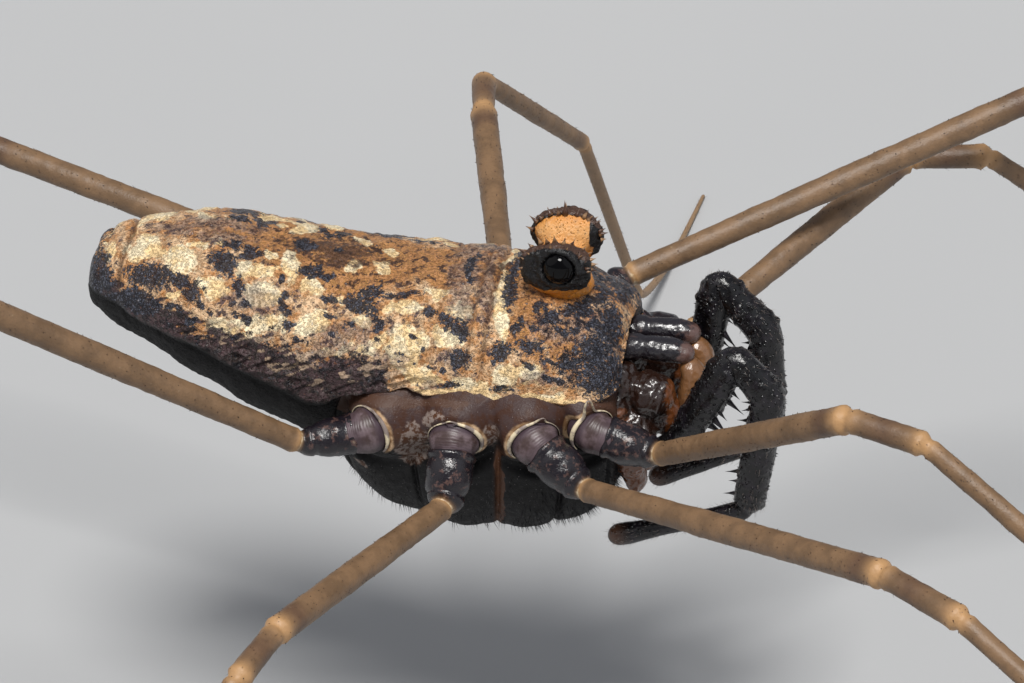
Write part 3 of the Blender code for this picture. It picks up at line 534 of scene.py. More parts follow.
class Paint:
    """One Principled material, built up from nodes."""

    def __init__(self, name, **constants):
        self.material = bpy.data.materials.new(name)
        self.material.use_nodes = True
        self.tree = self.material.node_tree
        self.shader = self.tree.nodes["Principled BSDF"]
        for socket, value in constants.items():
            self.shader.inputs[socket.replace("_", " ")].default_value = value
        place = self.value("ShaderNodeTexCoord", "Object")
        shift = (-ORIGIN[0], -ORIGIN[1], -ORIGIN[2])
        self.place = self.value(
            "ShaderNodeMapping", "Vector", {}, {"Vector": place, "Scale": (1 / MM,) * 3,
                                                "Location": shift})

    def add(self, kind, settings=None, values=None):
        node = self.tree.nodes.new(kind)
        for setting, value in (settings or {}).items():
            setattr(node, setting, value)
        for socket, value in (values or {}).items():
            if isinstance(value, Value):
                self.tree.links.new(value.socket, node.inputs[socket])
            else:
                entry = node.inputs[socket]
                if entry.type == "RGBA" and len(value) == 3:
                    value = (*value, 1.0)
                entry.default_value = value
        return node

    def value(self, kind, output, settings=None, values=None):
        return Value(self, self.add(kind, settings, values).outputs[output])

    def feed(self, **sockets):
        for socket, value in sockets.items():
            self.tree.links.new(value.socket, self.shader.inputs[socket.replace("_", " ")])
        return self.material

    def field(self, name):
        return self.value("ShaderNodeAttribute", "Fac", {"attribute_name": name})

    def noise(self, size, detail, rough):
        return self.value("ShaderNodeTexNoise", "Fac", {}, {
            "Vector": self.place, "Scale": 1 / size, "Detail": detail, "Roughness": rough})

    def cells(self, size, output="Distance", place=None):
        return self.value("ShaderNodeTexVoronoi", output, {}, {
            "Vector": place or self.place, "Scale": 1 / size})

    def rise(self, value, low, high):
        """0 below low, 1 above high and a smooth rise between."""
        return self.value("ShaderNodeMapRange", "Result", {"interpolation_type": "SMOOTHSTEP"}, {
            "Value": value, "From Min": low, "From Max": high})

    def mix(self, share, first, second):
        node = self.tree.nodes.new("ShaderNodeMix")
        node.data_type = "RGBA"
        for socket, value in ((0, share), (6, first), (7, second)):
            if isinstance(value, Value):
                self.tree.links.new(value.socket, node.inputs[socket])
            elif socket == 0:
                node.inputs[0].default_value = value
            else:
                node.inputs[socket].default_value = (*value, 1.0)
        return Value(self, node.outputs[2])

    def bump(self, height, depth, strength):
        return self.value("ShaderNodeBump", "Normal", {}, {
            "Height": height, "Distance": depth * MM, "Strength": strength})


def shield_paint(colours):
    """Granular shield: every grain takes cream, rust, plum or blue-black by the fields it lies in."""
    paint = Paint("shield", Specular_IOR_Level=0.40)
    fine = paint.noise(0.030, 2, 0.6)
    speckle = paint.noise(0.085, 4, 0.7)
    blotch = paint.noise(0.20, 5, 0.70)
    cloud = paint.noise(0.36, 4, 0.6)
    wobble = paint.value("ShaderNodeVectorMath", "Vector", {"operation": "MULTIPLY_ADD"}, {
        0: paint.value("ShaderNodeTexNoise", "Color", {}, {"Vector": paint.place, "Scale": 26.0}),
        1: (0.10, 0.10, 0.10), 2: paint.place})
    grain = paint.cells(0.048, place=wobble)
    tile = paint.cells(0.048, output="Color", place=wobble)
    coarse = paint.cells(0.110, output="Color", place=wobble)
    jag = (tile - 0.5) * 0.9 + (coarse - 0.5) * 0.5 + (speckle - 0.5) * 2.6 + (fine - 0.5) * 0.8
    base = paint.mix(paint.rise(cloud + jag * 0.10, 0.38, 0.62), colours.ochre, colours.buff)
    base = paint.mix(paint.rise(jag, 0.35, 0.80) * 0.70, base, colours.brown)
    base = paint.mix(paint.rise(jag, -0.30, -0.70) * 0.6, base, colours.ember)
    saddle = paint.rise(paint.field("rust") + jag * 0.40, 0.25, 0.75)
    warm = paint.mix(paint.rise(tile + (grain - 0.4) * 0.8, 0.30, 0.50), colours.amber_grain,
                     colours.rust)
    warm = paint.mix(paint.rise(blotch + jag * 0.12, 0.52, 0.60) * 0.88, warm, colours.umber)
    base = paint.mix(saddle * 0.94, base, warm)
    pale = paint.rise(paint.field("pale") + jag * 0.24, 0.28, 0.60)
    light = paint.mix(paint.rise(cloud + jag * 0.08, 0.40, 0.60), colours.cream, colours.ivory)
    base = paint.mix(pale * 0.94, base, light)
    grey = paint.rise(paint.field("grey") + (blotch - 0.5) * 2.4 + jag * 0.4, 0.30, 1.0)
    ash = paint.mix(paint.rise(jag, -0.2, 0.3), colours.grey, colours.plum)
    base = paint.mix(grey * 0.62, base, ash)
    mottle = paint.rise(blotch + jag * 0.11, 0.55, 0.61)
    base = paint.mix(mottle * (0.82 - pale * 0.72), base,
                     paint.mix(saddle, colours.plum, colours.umber))
    ridge = paint.rise(paint.field("dorsal") + (blotch - 0.5) * 2.4 + jag * 0.3, 0.42, 0.80)
    base = paint.mix(ridge * 0.85, base, colours.umber)
    plum = paint.mix(paint.rise(jag + (blotch - 0.5) * 2.0, -0.25, 0.25), colours.plum, colours.ink)
    flank = paint.rise(paint.field("plum") + jag * 0.50, 0.30, 0.66)
    base = paint.mix(flank * 0.96, base, plum)
    wisp = paint.rise(paint.field("wisp") + jag * 0.45, 0.38, 0.80)
    base = paint.mix(wisp * 0.75, base, paint.mix(cloud, colours.buff, colours.grey))
    ragged = (tile - 0.5) * 0.50 + (speckle - 0.5) * 2.4 + (fine - 0.5) * 1.2
    dark = paint.rise(paint.field("dark") + ragged, 0.36, 0.66)
    # Painted highlights: every grain in the black marks takes a steel-grey spot at its centre
    ink = paint.mix(paint.rise(0.50 - grain + (tile - 0.5) * 0.5, 0.0, 0.24), colours.ink,
                    colours.painted_grain_highlight)
    base = paint.mix(dark * 0.97, base, ink)
    # Painted shade in the cross grooves: umber, darker the deeper the groove
    base = paint.mix(paint.field("crease") * 0.8, base, colours.umber)
    lip = paint.rise(paint.field("lip") + jag * 0.25, 0.3, 0.75)
    base = paint.mix(lip * 0.85, base, colours.cream)
    base = paint.mix(paint.field("under"), base, colours.venter)
    base = paint.mix(paint.field("cavity"), base, colours.cavity)
    dust = paint.rise(tile + (fine - 0.5) * 0.6, 0.86, 0.95) * paint.rise(0.42 - grain, 0.0, 0.2)
    frost = dust * (0.30 + paint.field("grey") * 0.5) * (1 - paint.field("under"))
    base = paint.mix(frost, base, colours.frost)
    height = fine * 0.4 + speckle * 0.7 + paint.rise(0.6 - grain, 0.0, 0.45) * 0.9
    rough = 0.40 - dark * 0.08 + paint.field("under") * 0.38 + (fine - 0.5) * 0.5
    return paint.feed(Base_Color=base, Roughness=rough, Normal=paint.bump(height, 0.060, 0.85))


def block_paint(colours):
    """Leg bases: black below with glossy grains and painted glints, brown-grey skin and ivory socket
    rims above.
    """
    paint = Paint("leg_bases", Specular_IOR_Level=0.22)
    fine = paint.noise(0.030, 3, 0.6)
    speckle = paint.noise(0.09, 4, 0.6)
    blotch = paint.noise(0.22, 4, 0.6)
    edge = (speckle - 0.5) * 0.9 + (fine - 0.5) * 0.4
    black = paint.mix(paint.rise(fine, 0.60, 0.72) * 0.5, colours.venter, colours.ink)
    skin = paint.mix(paint.rise(blotch, 0.42, 0.60), colours.membrane, colours.cavity)
    base = paint.mix(paint.rise(paint.field("high") + edge, 0.35, 0.65), black, skin)
    sandy = paint.mix(paint.rise(speckle + edge * 0.3, 0.42, 0.60), colours.seam, colours.grey)
    pale = paint.rise(paint.field("pale") + edge, 0.35, 0.75)
    base = paint.mix(pale * 0.75, base, sandy)
    rust = paint.rise(paint.field("rust") + edge * 0.5, 0.35, 0.65)
    base = paint.mix(rust * 0.9, base, colours.umber)
    base = paint.mix(paint.field("seam") * 0.85, base, colours.seam)
    rim = paint.rise(paint.field("rim") + edge * 0.4, 0.40, 0.85)
    sand = paint.mix(paint.rise(blotch, 0.4, 0.6), colours.buff, colours.tan)
    base = paint.mix(rim * 0.8, base, sand)
    # Small raised glossy grains; their centres also take the pale frost colour as painted glints
    grain_and_painted_glint = paint.rise(1 - paint.cells(0.075), 0.86, 0.98)
    base = paint.mix(grain_and_painted_glint * 0.35, base, colours.frost)
    height = fine * 0.6 + speckle * 0.4 + grain_and_painted_glint * 0.8
    return paint.feed(Base_Color=base, Roughness=0.52 + (speckle - 0.5) * 0.5 - grain_and_painted_glint * 0.25
                      - paint.field("high") * 0.12, Normal=paint.bump(height, 0.03, 0.55))


def socket_paint(colours):
    """Soft socket skin with fine curved striae, inside an ivory rim."""
    paint = Paint("socket_skin", Specular_IOR_Level=0.45)
    cloud = paint.noise(0.20, 3, 0.55)
    striae = paint.field("striae")
    skin = paint.mix(paint.rise(cloud, 0.35, 0.65), colours.membrane, colours.socket)
    lines = paint.value("ShaderNodeMath", "Value", {"operation": "SINE"}, {
        0: striae * 120.0 + paint.noise(0.3, 2, 0.5) * 14.0})
    skin = paint.mix(paint.rise(lines, 0.1, 1.0) * 0.16, skin, colours.plum)
    skin = paint.mix(paint.rise(striae, 0.50, 0.72) * 0.5, skin, colours.plum)
    skin = paint.mix(1 - paint.rise(striae, 0.34, 0.46), skin, colours.plum)
    ivory = paint.mix(paint.rise(cloud, 0.42, 0.60), colours.ivory, colours.grey)
    base = paint.mix(paint.field("rim") * 0.72, skin, ivory)
    return paint.feed(Base_Color=base, Roughness=0.34 + cloud * 0.15,
                      Normal=paint.bump(lines * 0.16 + cloud, 0.02, 0.35))


def mound_paint(colours):
    """Eye mound: black granular lobes, brown crests and an orange groove between them, with a painted
    cream glow high on the groove's walls.
    """
    paint = Paint("eye_mound", Specular_IOR_Level=0.5)
    fine = paint.noise(0.035, 3, 0.6)
    speckle = paint.noise(0.09, 4, 0.6)
    black = paint.mix(paint.rise(fine, 0.52, 0.68), colours.venter, colours.ink)
    orange = paint.mix(paint.rise(speckle, 0.50, 0.66) * 0.7, colours.orange, colours.rust)
    # Painted light: a cream glow high on the groove's inner walls
    orange = paint.mix(paint.field("glow") * 0.35, orange, colours.cream)
    groove = paint.rise(paint.field("orange") + (speckle - 0.5) * 0.5, 0.38, 0.62)
    base = paint.mix(groove, black, orange)
    crest = paint.rise(paint.field("crest") + (speckle - 0.5) * 0.7, 0.38, 0.66)
    base = paint.mix(crest * 0.85, base, colours.umber)
    grain = paint.rise(1 - paint.cells(0.05), 0.70, 0.95)
    return paint.feed(Base_Color=base, Roughness=0.38 + (speckle - 0.5) * 0.4,
                      Normal=paint.bump(fine * 0.5 + grain * 0.9, 0.050, 0.8))


def eye_paint(colours):
    paint = Paint("eye_lens", Roughness=0.06, Specular_IOR_Level=0.2)
    cloud = paint.noise(0.12, 2, 0.5)
    base = paint.mix(cloud, colours.lens, colours.venter)
    return paint.feed(Base_Color=base)


def jaw_paint(name, first, second, gloss):
    """Smooth jaw shell, dark and part translucent, with blotches and faint pits."""
    paint = Paint(name, Specular_IOR_Level=0.9)
    cloud = paint.noise(0.16, 4, 0.6)
    fine = paint.noise(0.03, 2, 0.5)
    share = paint.rise(cloud + (paint.field("amber") - 0.5) * 0.7, 0.38, 0.62)
    base = paint.mix(share, first, second)
    pits = paint.rise(paint.cells(0.11), 0.15, 0.6)
    return paint.feed(Base_Color=base, Roughness=gloss + (cloud - 0.5) * 0.25,
                      Normal=paint.bump(cloud + fine * 0.3 + pits * 0.5, 0.03, 0.5))


def feeler_paint(colours):
    """Black, glossy and finely knobbed, a little brown and translucent at the tips."""
    paint = Paint("feeler_shell", Specular_IOR_Level=0.5)
    fine = paint.noise(0.03, 3, 0.6)
    cloud = paint.noise(0.20, 3, 0.6)
    black = paint.mix(paint.rise(cloud, 0.45, 0.68), colours.feeler, colours.plum_black)
    base = paint.mix(paint.field("tip") * 0.8, black, colours.umber)
    knobs = paint.rise(1 - paint.cells(0.085), 0.62, 0.92)
    return paint.feed(Base_Color=base, Roughness=0.17 + (fine - 0.5) * 0.3 + cloud * 0.1,
                      Normal=paint.bump(knobs + fine * 0.25, 0.035, 0.7))


def leg_paint(colours):
    """Olive brown legs, golden at the joints, dark and glossy at their first short segment."""
    paint = Paint("leg_shell", Specular_IOR_Level=0.55)
    fine = paint.noise(0.035, 3, 0.6)
    cloud = paint.noise(0.45, 4, 0.6)
    blotch = paint.noise(0.13, 3, 0.6)
    base = paint.mix(paint.rise(cloud, 0.36, 0.64), colours.olive, colours.leg)
    base = paint.mix(paint.rise(fine, 0.56, 0.70) * 0.30, base, colours.umber)
    base = paint.mix(paint.field("slim") * 0.6, base, colours.straw)
    # Painted shade: umber bands on either side of the knees and before the ankles
    base = paint.mix(paint.field("dusk") * 0.75, base, colours.umber)
    base = paint.mix(paint.field("joint") * (0.55 + blotch * 0.6), base, colours.gold)
    inky = paint.mix(paint.rise(blotch + (fine - 0.5) * 0.3, 0.54, 0.68) * 0.8, colours.plum_black,
                     colours.hip)
    base = paint.mix(paint.field("hip"), base, inky)
    base = paint.mix(paint.rise(paint.field("ring") + (blotch - 0.5) * 1.2, 0.2, 0.8) * 0.8, base,
                     colours.ivory)
    rough = 0.48 - paint.field("hip") * 0.28 + (cloud - 0.5) * 0.2
    return paint.feed(Base_Color=base, Roughness=rough,
                      Normal=paint.bump(fine * 0.5 + blotch * 0.8, 0.03, 0.5))


def bristle_paint(name, first, second, gloss=0.4):
    paint = Paint(name, Specular_IOR_Level=0.5)
    base = paint.mix(paint.rise(paint.noise(0.15, 2, 0.5), 0.4, 0.6), first, second)
    return paint.feed(Base_Color=base, Roughness=gloss + paint.noise(0.1, 1, 0.5) * 0.15)


def floor_paint(colour):
    paint = Paint("studio_floor", Specular_IOR_Level=0.2)
    cloud = paint.noise(14.0, 3, 0.5)
    shade = tuple(channel * 0.985 for channel in colour)
    base = paint.mix(paint.rise(cloud, 0.35, 0.65), shade, colour)
    return paint.feed(Base_Color=base, Roughness=0.75 + cloud * 0.1)


# Spines, teeth and bristles: one shape set on given roots

def spine_tree(name, material):
    """Sets a tapering spine on every root, turned and sized by the root's own values."""
    tree = bpy.data.node_groups.new(name, "GeometryNodeTree")
    face = tree.interface
    face.new_socket("Geometry", in_out="INPUT", socket_type="NodeSocketGeometry")
    face.new_socket("Geometry", in_out="OUTPUT", socket_type="NodeSocketGeometry")
    for label, kind, value in (
        ("Sides", "NodeSocketInt", 5), ("Needle", "NodeSocketFloat", 1.3),
        ("Bend", "NodeSocketFloat", 0.1), ("Seed", "NodeSocketInt", 3),
        ("Patch", "NodeSocketFloat", 0.003),
    ):
        face.new_socket(label, in_out="INPUT", socket_type=kind).default_value = value
    nodes, links = tree.nodes, tree.links

    def add(kind, settings=None, **values):
        node = nodes.new(kind)
        for setting, value in (settings or {}).items():
            setattr(node, setting, value)
        for socket, value in values.items():
            entry = node.inputs[int(socket[1:]) if socket[0] == "n" and socket[1:].isdigit()
                                else socket.replace("_", " ")]
            if isinstance(value, bpy.types.NodeSocket):
                links.new(value, entry)
            else:
                entry.default_value = value
        return node

    def maths(operation, first, second=0.0):
        return add("ShaderNodeMath", {"operation": operation}, n0=first, n1=second).outputs[0]

    def named(label, kind="FLOAT"):
        return add("GeometryNodeInputNamedAttribute", {"data_type": kind}, Name=label).outputs[0]

    group_in = nodes.new("NodeGroupInput")
    group_out = nodes.new("NodeGroupOutput")
    cone = add("GeometryNodeMeshCone", {"fill_type": "NGON"}, Vertices=group_in.outputs["Sides"],
               Side_Segments=3, Radius_Top=0.05, Radius_Bottom=1.0, Depth=1.0)
    place = add("ShaderNodeSeparateXYZ", n0=nodes.new("GeometryNodeInputPosition").outputs[0])
    left = maths("MAXIMUM", maths("SUBTRACT", 1.0, place.outputs[2]), 0.02)
    slim = maths("POWER", left, maths("SUBTRACT", group_in.outputs["Needle"], 1.0))
    spot = add("ShaderNodeCombineXYZ", n0=maths("MULTIPLY", place.outputs[0], slim),
               n1=maths("MULTIPLY", place.outputs[1], slim), n2=place.outputs[2])
    shaped = add("GeometryNodeSetPosition", Geometry=cone.outputs["Mesh"], Position=spot.outputs[0])
    patch = add("ShaderNodeCombineXYZ", n0=place.outputs[0], n1=place.outputs[2], n2=0.0)
    kept = add("GeometryNodeStoreNamedAttribute", {"data_type": "FLOAT_VECTOR", "domain": "POINT"},
               Geometry=shaped.outputs[0], Name="patch", Value=patch.outputs[0])
    roots = add("GeometryNodeMeshToPoints", Mesh=group_in.outputs["Geometry"])
    lean = add("FunctionNodeAlignRotationToVector", {"axis": "Z"},
               Vector=named("lean", "FLOAT_VECTOR"))
    roll = add("FunctionNodeRandomValue", {"data_type": "FLOAT"}, Seed=group_in.outputs["Seed"])
    roll.inputs[2].default_value = 0.0
    roll.inputs[3].default_value = 2 * math.pi
    turn = add("FunctionNodeAxisAngleToRotation", Axis=(0, 0, 1), Angle=roll.outputs[1])
    turned = add("FunctionNodeRotateRotation", {"rotation_space": "LOCAL"},
                 Rotation=lean.outputs[0], Rotate_By=turn.outputs[0])
    girth, height = named("girth"), named("height")
    size = add("ShaderNodeCombineXYZ", n0=girth, n1=girth, n2=height)
    set_out = add("GeometryNodeInstanceOnPoints", Points=roots.outputs[0], Instance=kept.outputs[0],
                  Rotation=turned.outputs[0], Scale=size.outputs[0])
    real = add("GeometryNodeRealizeInstances", Geometry=set_out.outputs[0])
    swayed = add("ShaderNodeVectorMath", {"operation": "SCALE"}, n0=named("sway", "FLOAT_VECTOR"))
    links.new(maths("MULTIPLY", maths("MULTIPLY", named("height"), group_in.outputs["Bend"]),
                    maths("POWER", add("ShaderNodeSeparateXYZ", n0=named("patch", "FLOAT_VECTOR"))
                          .outputs[1], 2.0)), swayed.inputs["Scale"])
    bent = add("GeometryNodeSetPosition", Geometry=real.outputs[0], Offset=swayed.outputs[0])
    spread = add("ShaderNodeVectorMath", {"operation": "SCALE"}, n0=named("patch", "FLOAT_VECTOR"))
    links.new(group_in.outputs["Patch"], spread.inputs["Scale"])
    unwrapped = add("ShaderNodeVectorMath", {"operation": "ADD"},
                    n0=named("root_uv", "FLOAT_VECTOR"), n1=spread.outputs[0])
    baked = add("GeometryNodeStoreNamedAttribute", {"data_type": "FLOAT2", "domain": "CORNER"},
                Geometry=bent.outputs[0], Name="OFBake", Value=unwrapped.outputs[0])
    done = add("GeometryNodeSetMaterial", Geometry=baked.outputs[0], Material=material)
    links.new(done.outputs[0], group_out.inputs[0])
    return tree


def set_spines(name, roots, material, sides, needle, bend=0.0, seed=3):
    """One piece of spines from roots, each a place, lean, height, girth, sway and patch."""
    places, leans, heights, girths, sways, patches = (np.array(part, float) for part in zip(*roots))
    mesh = bpy.data.meshes.new(name + "_roots")
    mesh.from_pydata(places.tolist(), [], [])
    for field, values, kind in (
        ("lean", leans, "FLOAT_VECTOR"), ("sway", sways, "FLOAT_VECTOR"),
        ("root_uv", patches, "FLOAT_VECTOR"), ("height", heights, "FLOAT"),
        ("girth", girths, "FLOAT"),
    ):
        data = mesh.attributes.new(field, kind, "POINT").data
        data.foreach_set("vector" if kind == "FLOAT_VECTOR" else "value",
                         values.astype(np.float32).ravel())
    holder = bpy.data.objects.new(name + "_roots", mesh)
    bpy.context.scene.collection.objects.link(holder)
    tree = spine_tree(name, material)
    growth = holder.modifiers.new("spines", "NODES")
    growth.node_group = tree
    for label, value in (("Sides", sides), ("Needle", needle), ("Bend", bend), ("Seed", seed)):
        growth[tree.interface.items_tree[label].identifier] = value
    bpy.context.view_layer.update()
    grown = bpy.data.meshes.new_from_object(
        holder.evaluated_get(bpy.context.evaluated_depsgraph_get()))
    holder.modifiers.remove(growth)
    bpy.data.objects.remove(holder, do_unlink=True)
    for field in ("lean", "sway", "root_uv", "height", "girth", "patch"):
        if field in grown.attributes:
            grown.attributes.remove(grown.attributes[field])
    shift = Matrix.Scale(MM, 4) @ Matrix.Translation(Vector(ORIGIN))
    grown.transform(shift)
    grown.name = name
    finish_piece(name, grown, material, ())


def scattered(rings, weights, count, height, girth, comb, lie, seed, sunk=0.02):
    """Roots spread over a skin by weight, leaning between its normal and the comb direction."""
    draw = np.random.default_rng(seed)
    normals = ring_normals(rings)
    area = np.linalg.norm(np.cross(
        np.gradient(rings, axis=0), (np.roll(rings, -1, 1) - np.roll(rings, 1, 1)) / 2), axis=-1)
    share = (np.clip(weights, 0, None) * area).reshape(-1)
    picked = draw.choice(share.size, size=count, p=share / share.sum())
    across, around = np.divmod(picked, rings.shape[1])
    jitter = draw.random((count, 2))
    next_ring = np.minimum(across + 1, rings.shape[0] - 1)
    next_around = (around + 1) % rings.shape[1]
    place = rings[across, around]
    place = place + (rings[next_ring, around] - place) * jitter[:, :1]
    place = place + (rings[across, next_around] - rings[across, around]) * jitter[:, 1:]
    normal = normals[across, around]
    comb = np.asarray(comb, float)
    if comb.ndim == 1:
        comb = np.broadcast_to(comb, normal.shape)
    else:
        comb = comb[across, around]
    lean = unit(normal * (1 - lie) + comb * lie + draw.normal(0, 0.12, normal.shape))
    lengths = height * draw.uniform(0.55, 1.25, count)
    widths = girth * draw.uniform(0.8, 1.2, count)
    patches = np.stack((
        0.003 + 0.99 * (across + jitter[:, 0]) / rings.shape[0],
        0.003 + 0.99 * (around + jitter[:, 1]) / rings.shape[1], np.zeros(count)), 1)
    return list(zip(place - normal * sunk, lean, lengths, widths, comb, patches))


def spread_roots(places, leans, heights, girths):
    """Roots given one by one, with their patches side by side."""
    count = max(1, math.ceil(math.sqrt(len(places))))
    return [
        (place, unit(np.asarray(lean, float)), height, girth, (0.0, 0.0, 0.0),
         ((number % count + 0.5) / count, (number // count + 0.5) / count, 0.0))
        for number, (place, lean, height, girth) in enumerate(zip(places, leans, heights, girths))]


# What one step leaves for a later one
KEPT = {}


# Settings

class HarvestmanTrunk(bpy.types.PropertyGroup):
    relief: FloatProperty(
        name="Relief", description="Depth of the shield's folds and grains, as a share of life",
        default=1.0, min=0, max=2, subtype="FACTOR")
    rings: IntProperty(
        name="Rings", description="Cross-sections of the trunk's skin", default=400, min=60,
        max=440)


class HarvestmanLegs(bpy.types.PropertyGroup):
    girth: FloatProperty(
        name="Girth", description="Thickness of the legs, as a share of life", default=1.0,
        min=0.5, max=1.2, subtype="FACTOR")
    tooth: FloatProperty(
        name="Tooth height", description="Height of the teeth on the upper legs",
        default=0.035 * MM, min=0, unit="LENGTH")


class HarvestmanFeelers(bpy.types.PropertyGroup):
    spine: FloatProperty(
        name="Spine length", description="Length of the longest spines under the feelers",
        default=0.46 * MM, min=0, unit="LENGTH")


class HarvestmanStage(bpy.types.PropertyGroup):
    key: FloatProperty(name="Key light", description="Strength of the main soft light",
                       default=3.35, min=0)
    fill: FloatProperty(name="Fill light", description="Strength of the lights at both ends",
                        default=0.42, min=0)
    sky: FloatProperty(name="Sky", description="Strength of the even light", default=0.24, min=0)
    floor: colour_property("Floor", "Colour of the plain floor", tone(176, 177, 178))


class HarvestmanColours(bpy.types.PropertyGroup):
    cream: colour_property("Cream", "Pale marks of the shield", tone(250, 216, 160))
    ivory: colour_property("Ivory", "Palest marks and rims", tone(255, 238, 200))
    buff: colour_property("Buff", "Ground of the shield", tone(228, 192, 152))
    ochre: colour_property("Ochre", "Ground of the shield, warmer", tone(196, 142, 92))
    brown: colour_property("Brown", "Speckles of the shield", tone(122, 86, 64))
    ember: colour_property("Ember", "Warm grains", tone(176, 108, 48))
    rust: colour_property("Rust", "Warm saddle of the back", tone(180, 126, 78))
    amber_grain: colour_property("Amber grain", "Bright grains of the saddle", tone(204, 148, 88))
    umber: colour_property("Umber", "Dark speckles of the saddle", tone(78, 54, 42))
    plum: colour_property("Plum", "Lower flank", tone(66, 52, 60))
    ink: colour_property("Ink", "Blue-black marks", tone(25, 24, 31))
    # Steel: painted highlights at the centres of the grains within the black marks
    painted_grain_highlight: colour_property("Steel", "Grains within the black marks", tone(94, 98, 112))
    grey: colour_property("Grey", "Ashy bands", tone(150, 136, 128))
    # Frost: pale grains on the shield; on the leg bases this colour is painted as glints
    frost: colour_property("Frost", "Pale grains", tone(216, 206, 206))
    venter: colour_property("Venter", "Black underside", tone(5, 4, 5))
    cavity: colour_property("Cavity", "Skin behind the leg bases", tone(66, 42, 32))
    membrane: colour_property("Membrane", "Skin above the sockets", tone(66, 50, 48))
    socket: colour_property("Socket skin", "Skin within the sockets", tone(108, 92, 96))
    tan: colour_property("Tan", "Sandy skin beside the sockets", tone(150, 116, 82))
    seam: colour_property("Seam", "Seams between the leg bases", tone(86, 54, 34))
    orange: colour_property("Orange", "Groove of the eye mound", tone(206, 130, 42))
    lens: colour_property("Lens", "Eyes", tone(3, 3, 4))
    amber: colour_property("Amber", "Translucent skin round the jaws", tone(100, 56, 28))
    horn: colour_property("Horn", "Translucent hands of the jaws", tone(122, 84, 52))
    jaw: colour_property("Jaw", "Dark parts of the jaws", tone(38, 22, 16))
    feeler: colour_property("Feeler", "Feelers", tone(7, 6, 8))
    plum_black: colour_property("Plum black", "Dark gloss of the first leg segments", tone(26, 22, 28))
    hip: colour_property("Hip", "Translucent patches of the first leg segments", tone(92, 68, 62))
    olive: colour_property("Olive", "Leg ground", tone(106, 82, 58))
    leg: colour_property("Leg", "Leg ground, lighter", tone(126, 98, 70))
    straw: colour_property("Straw", "Thin outer legs", tone(150, 122, 92))
    gold: colour_property("Gold", "Leg joints", tone(186, 144, 98))


# Pieces

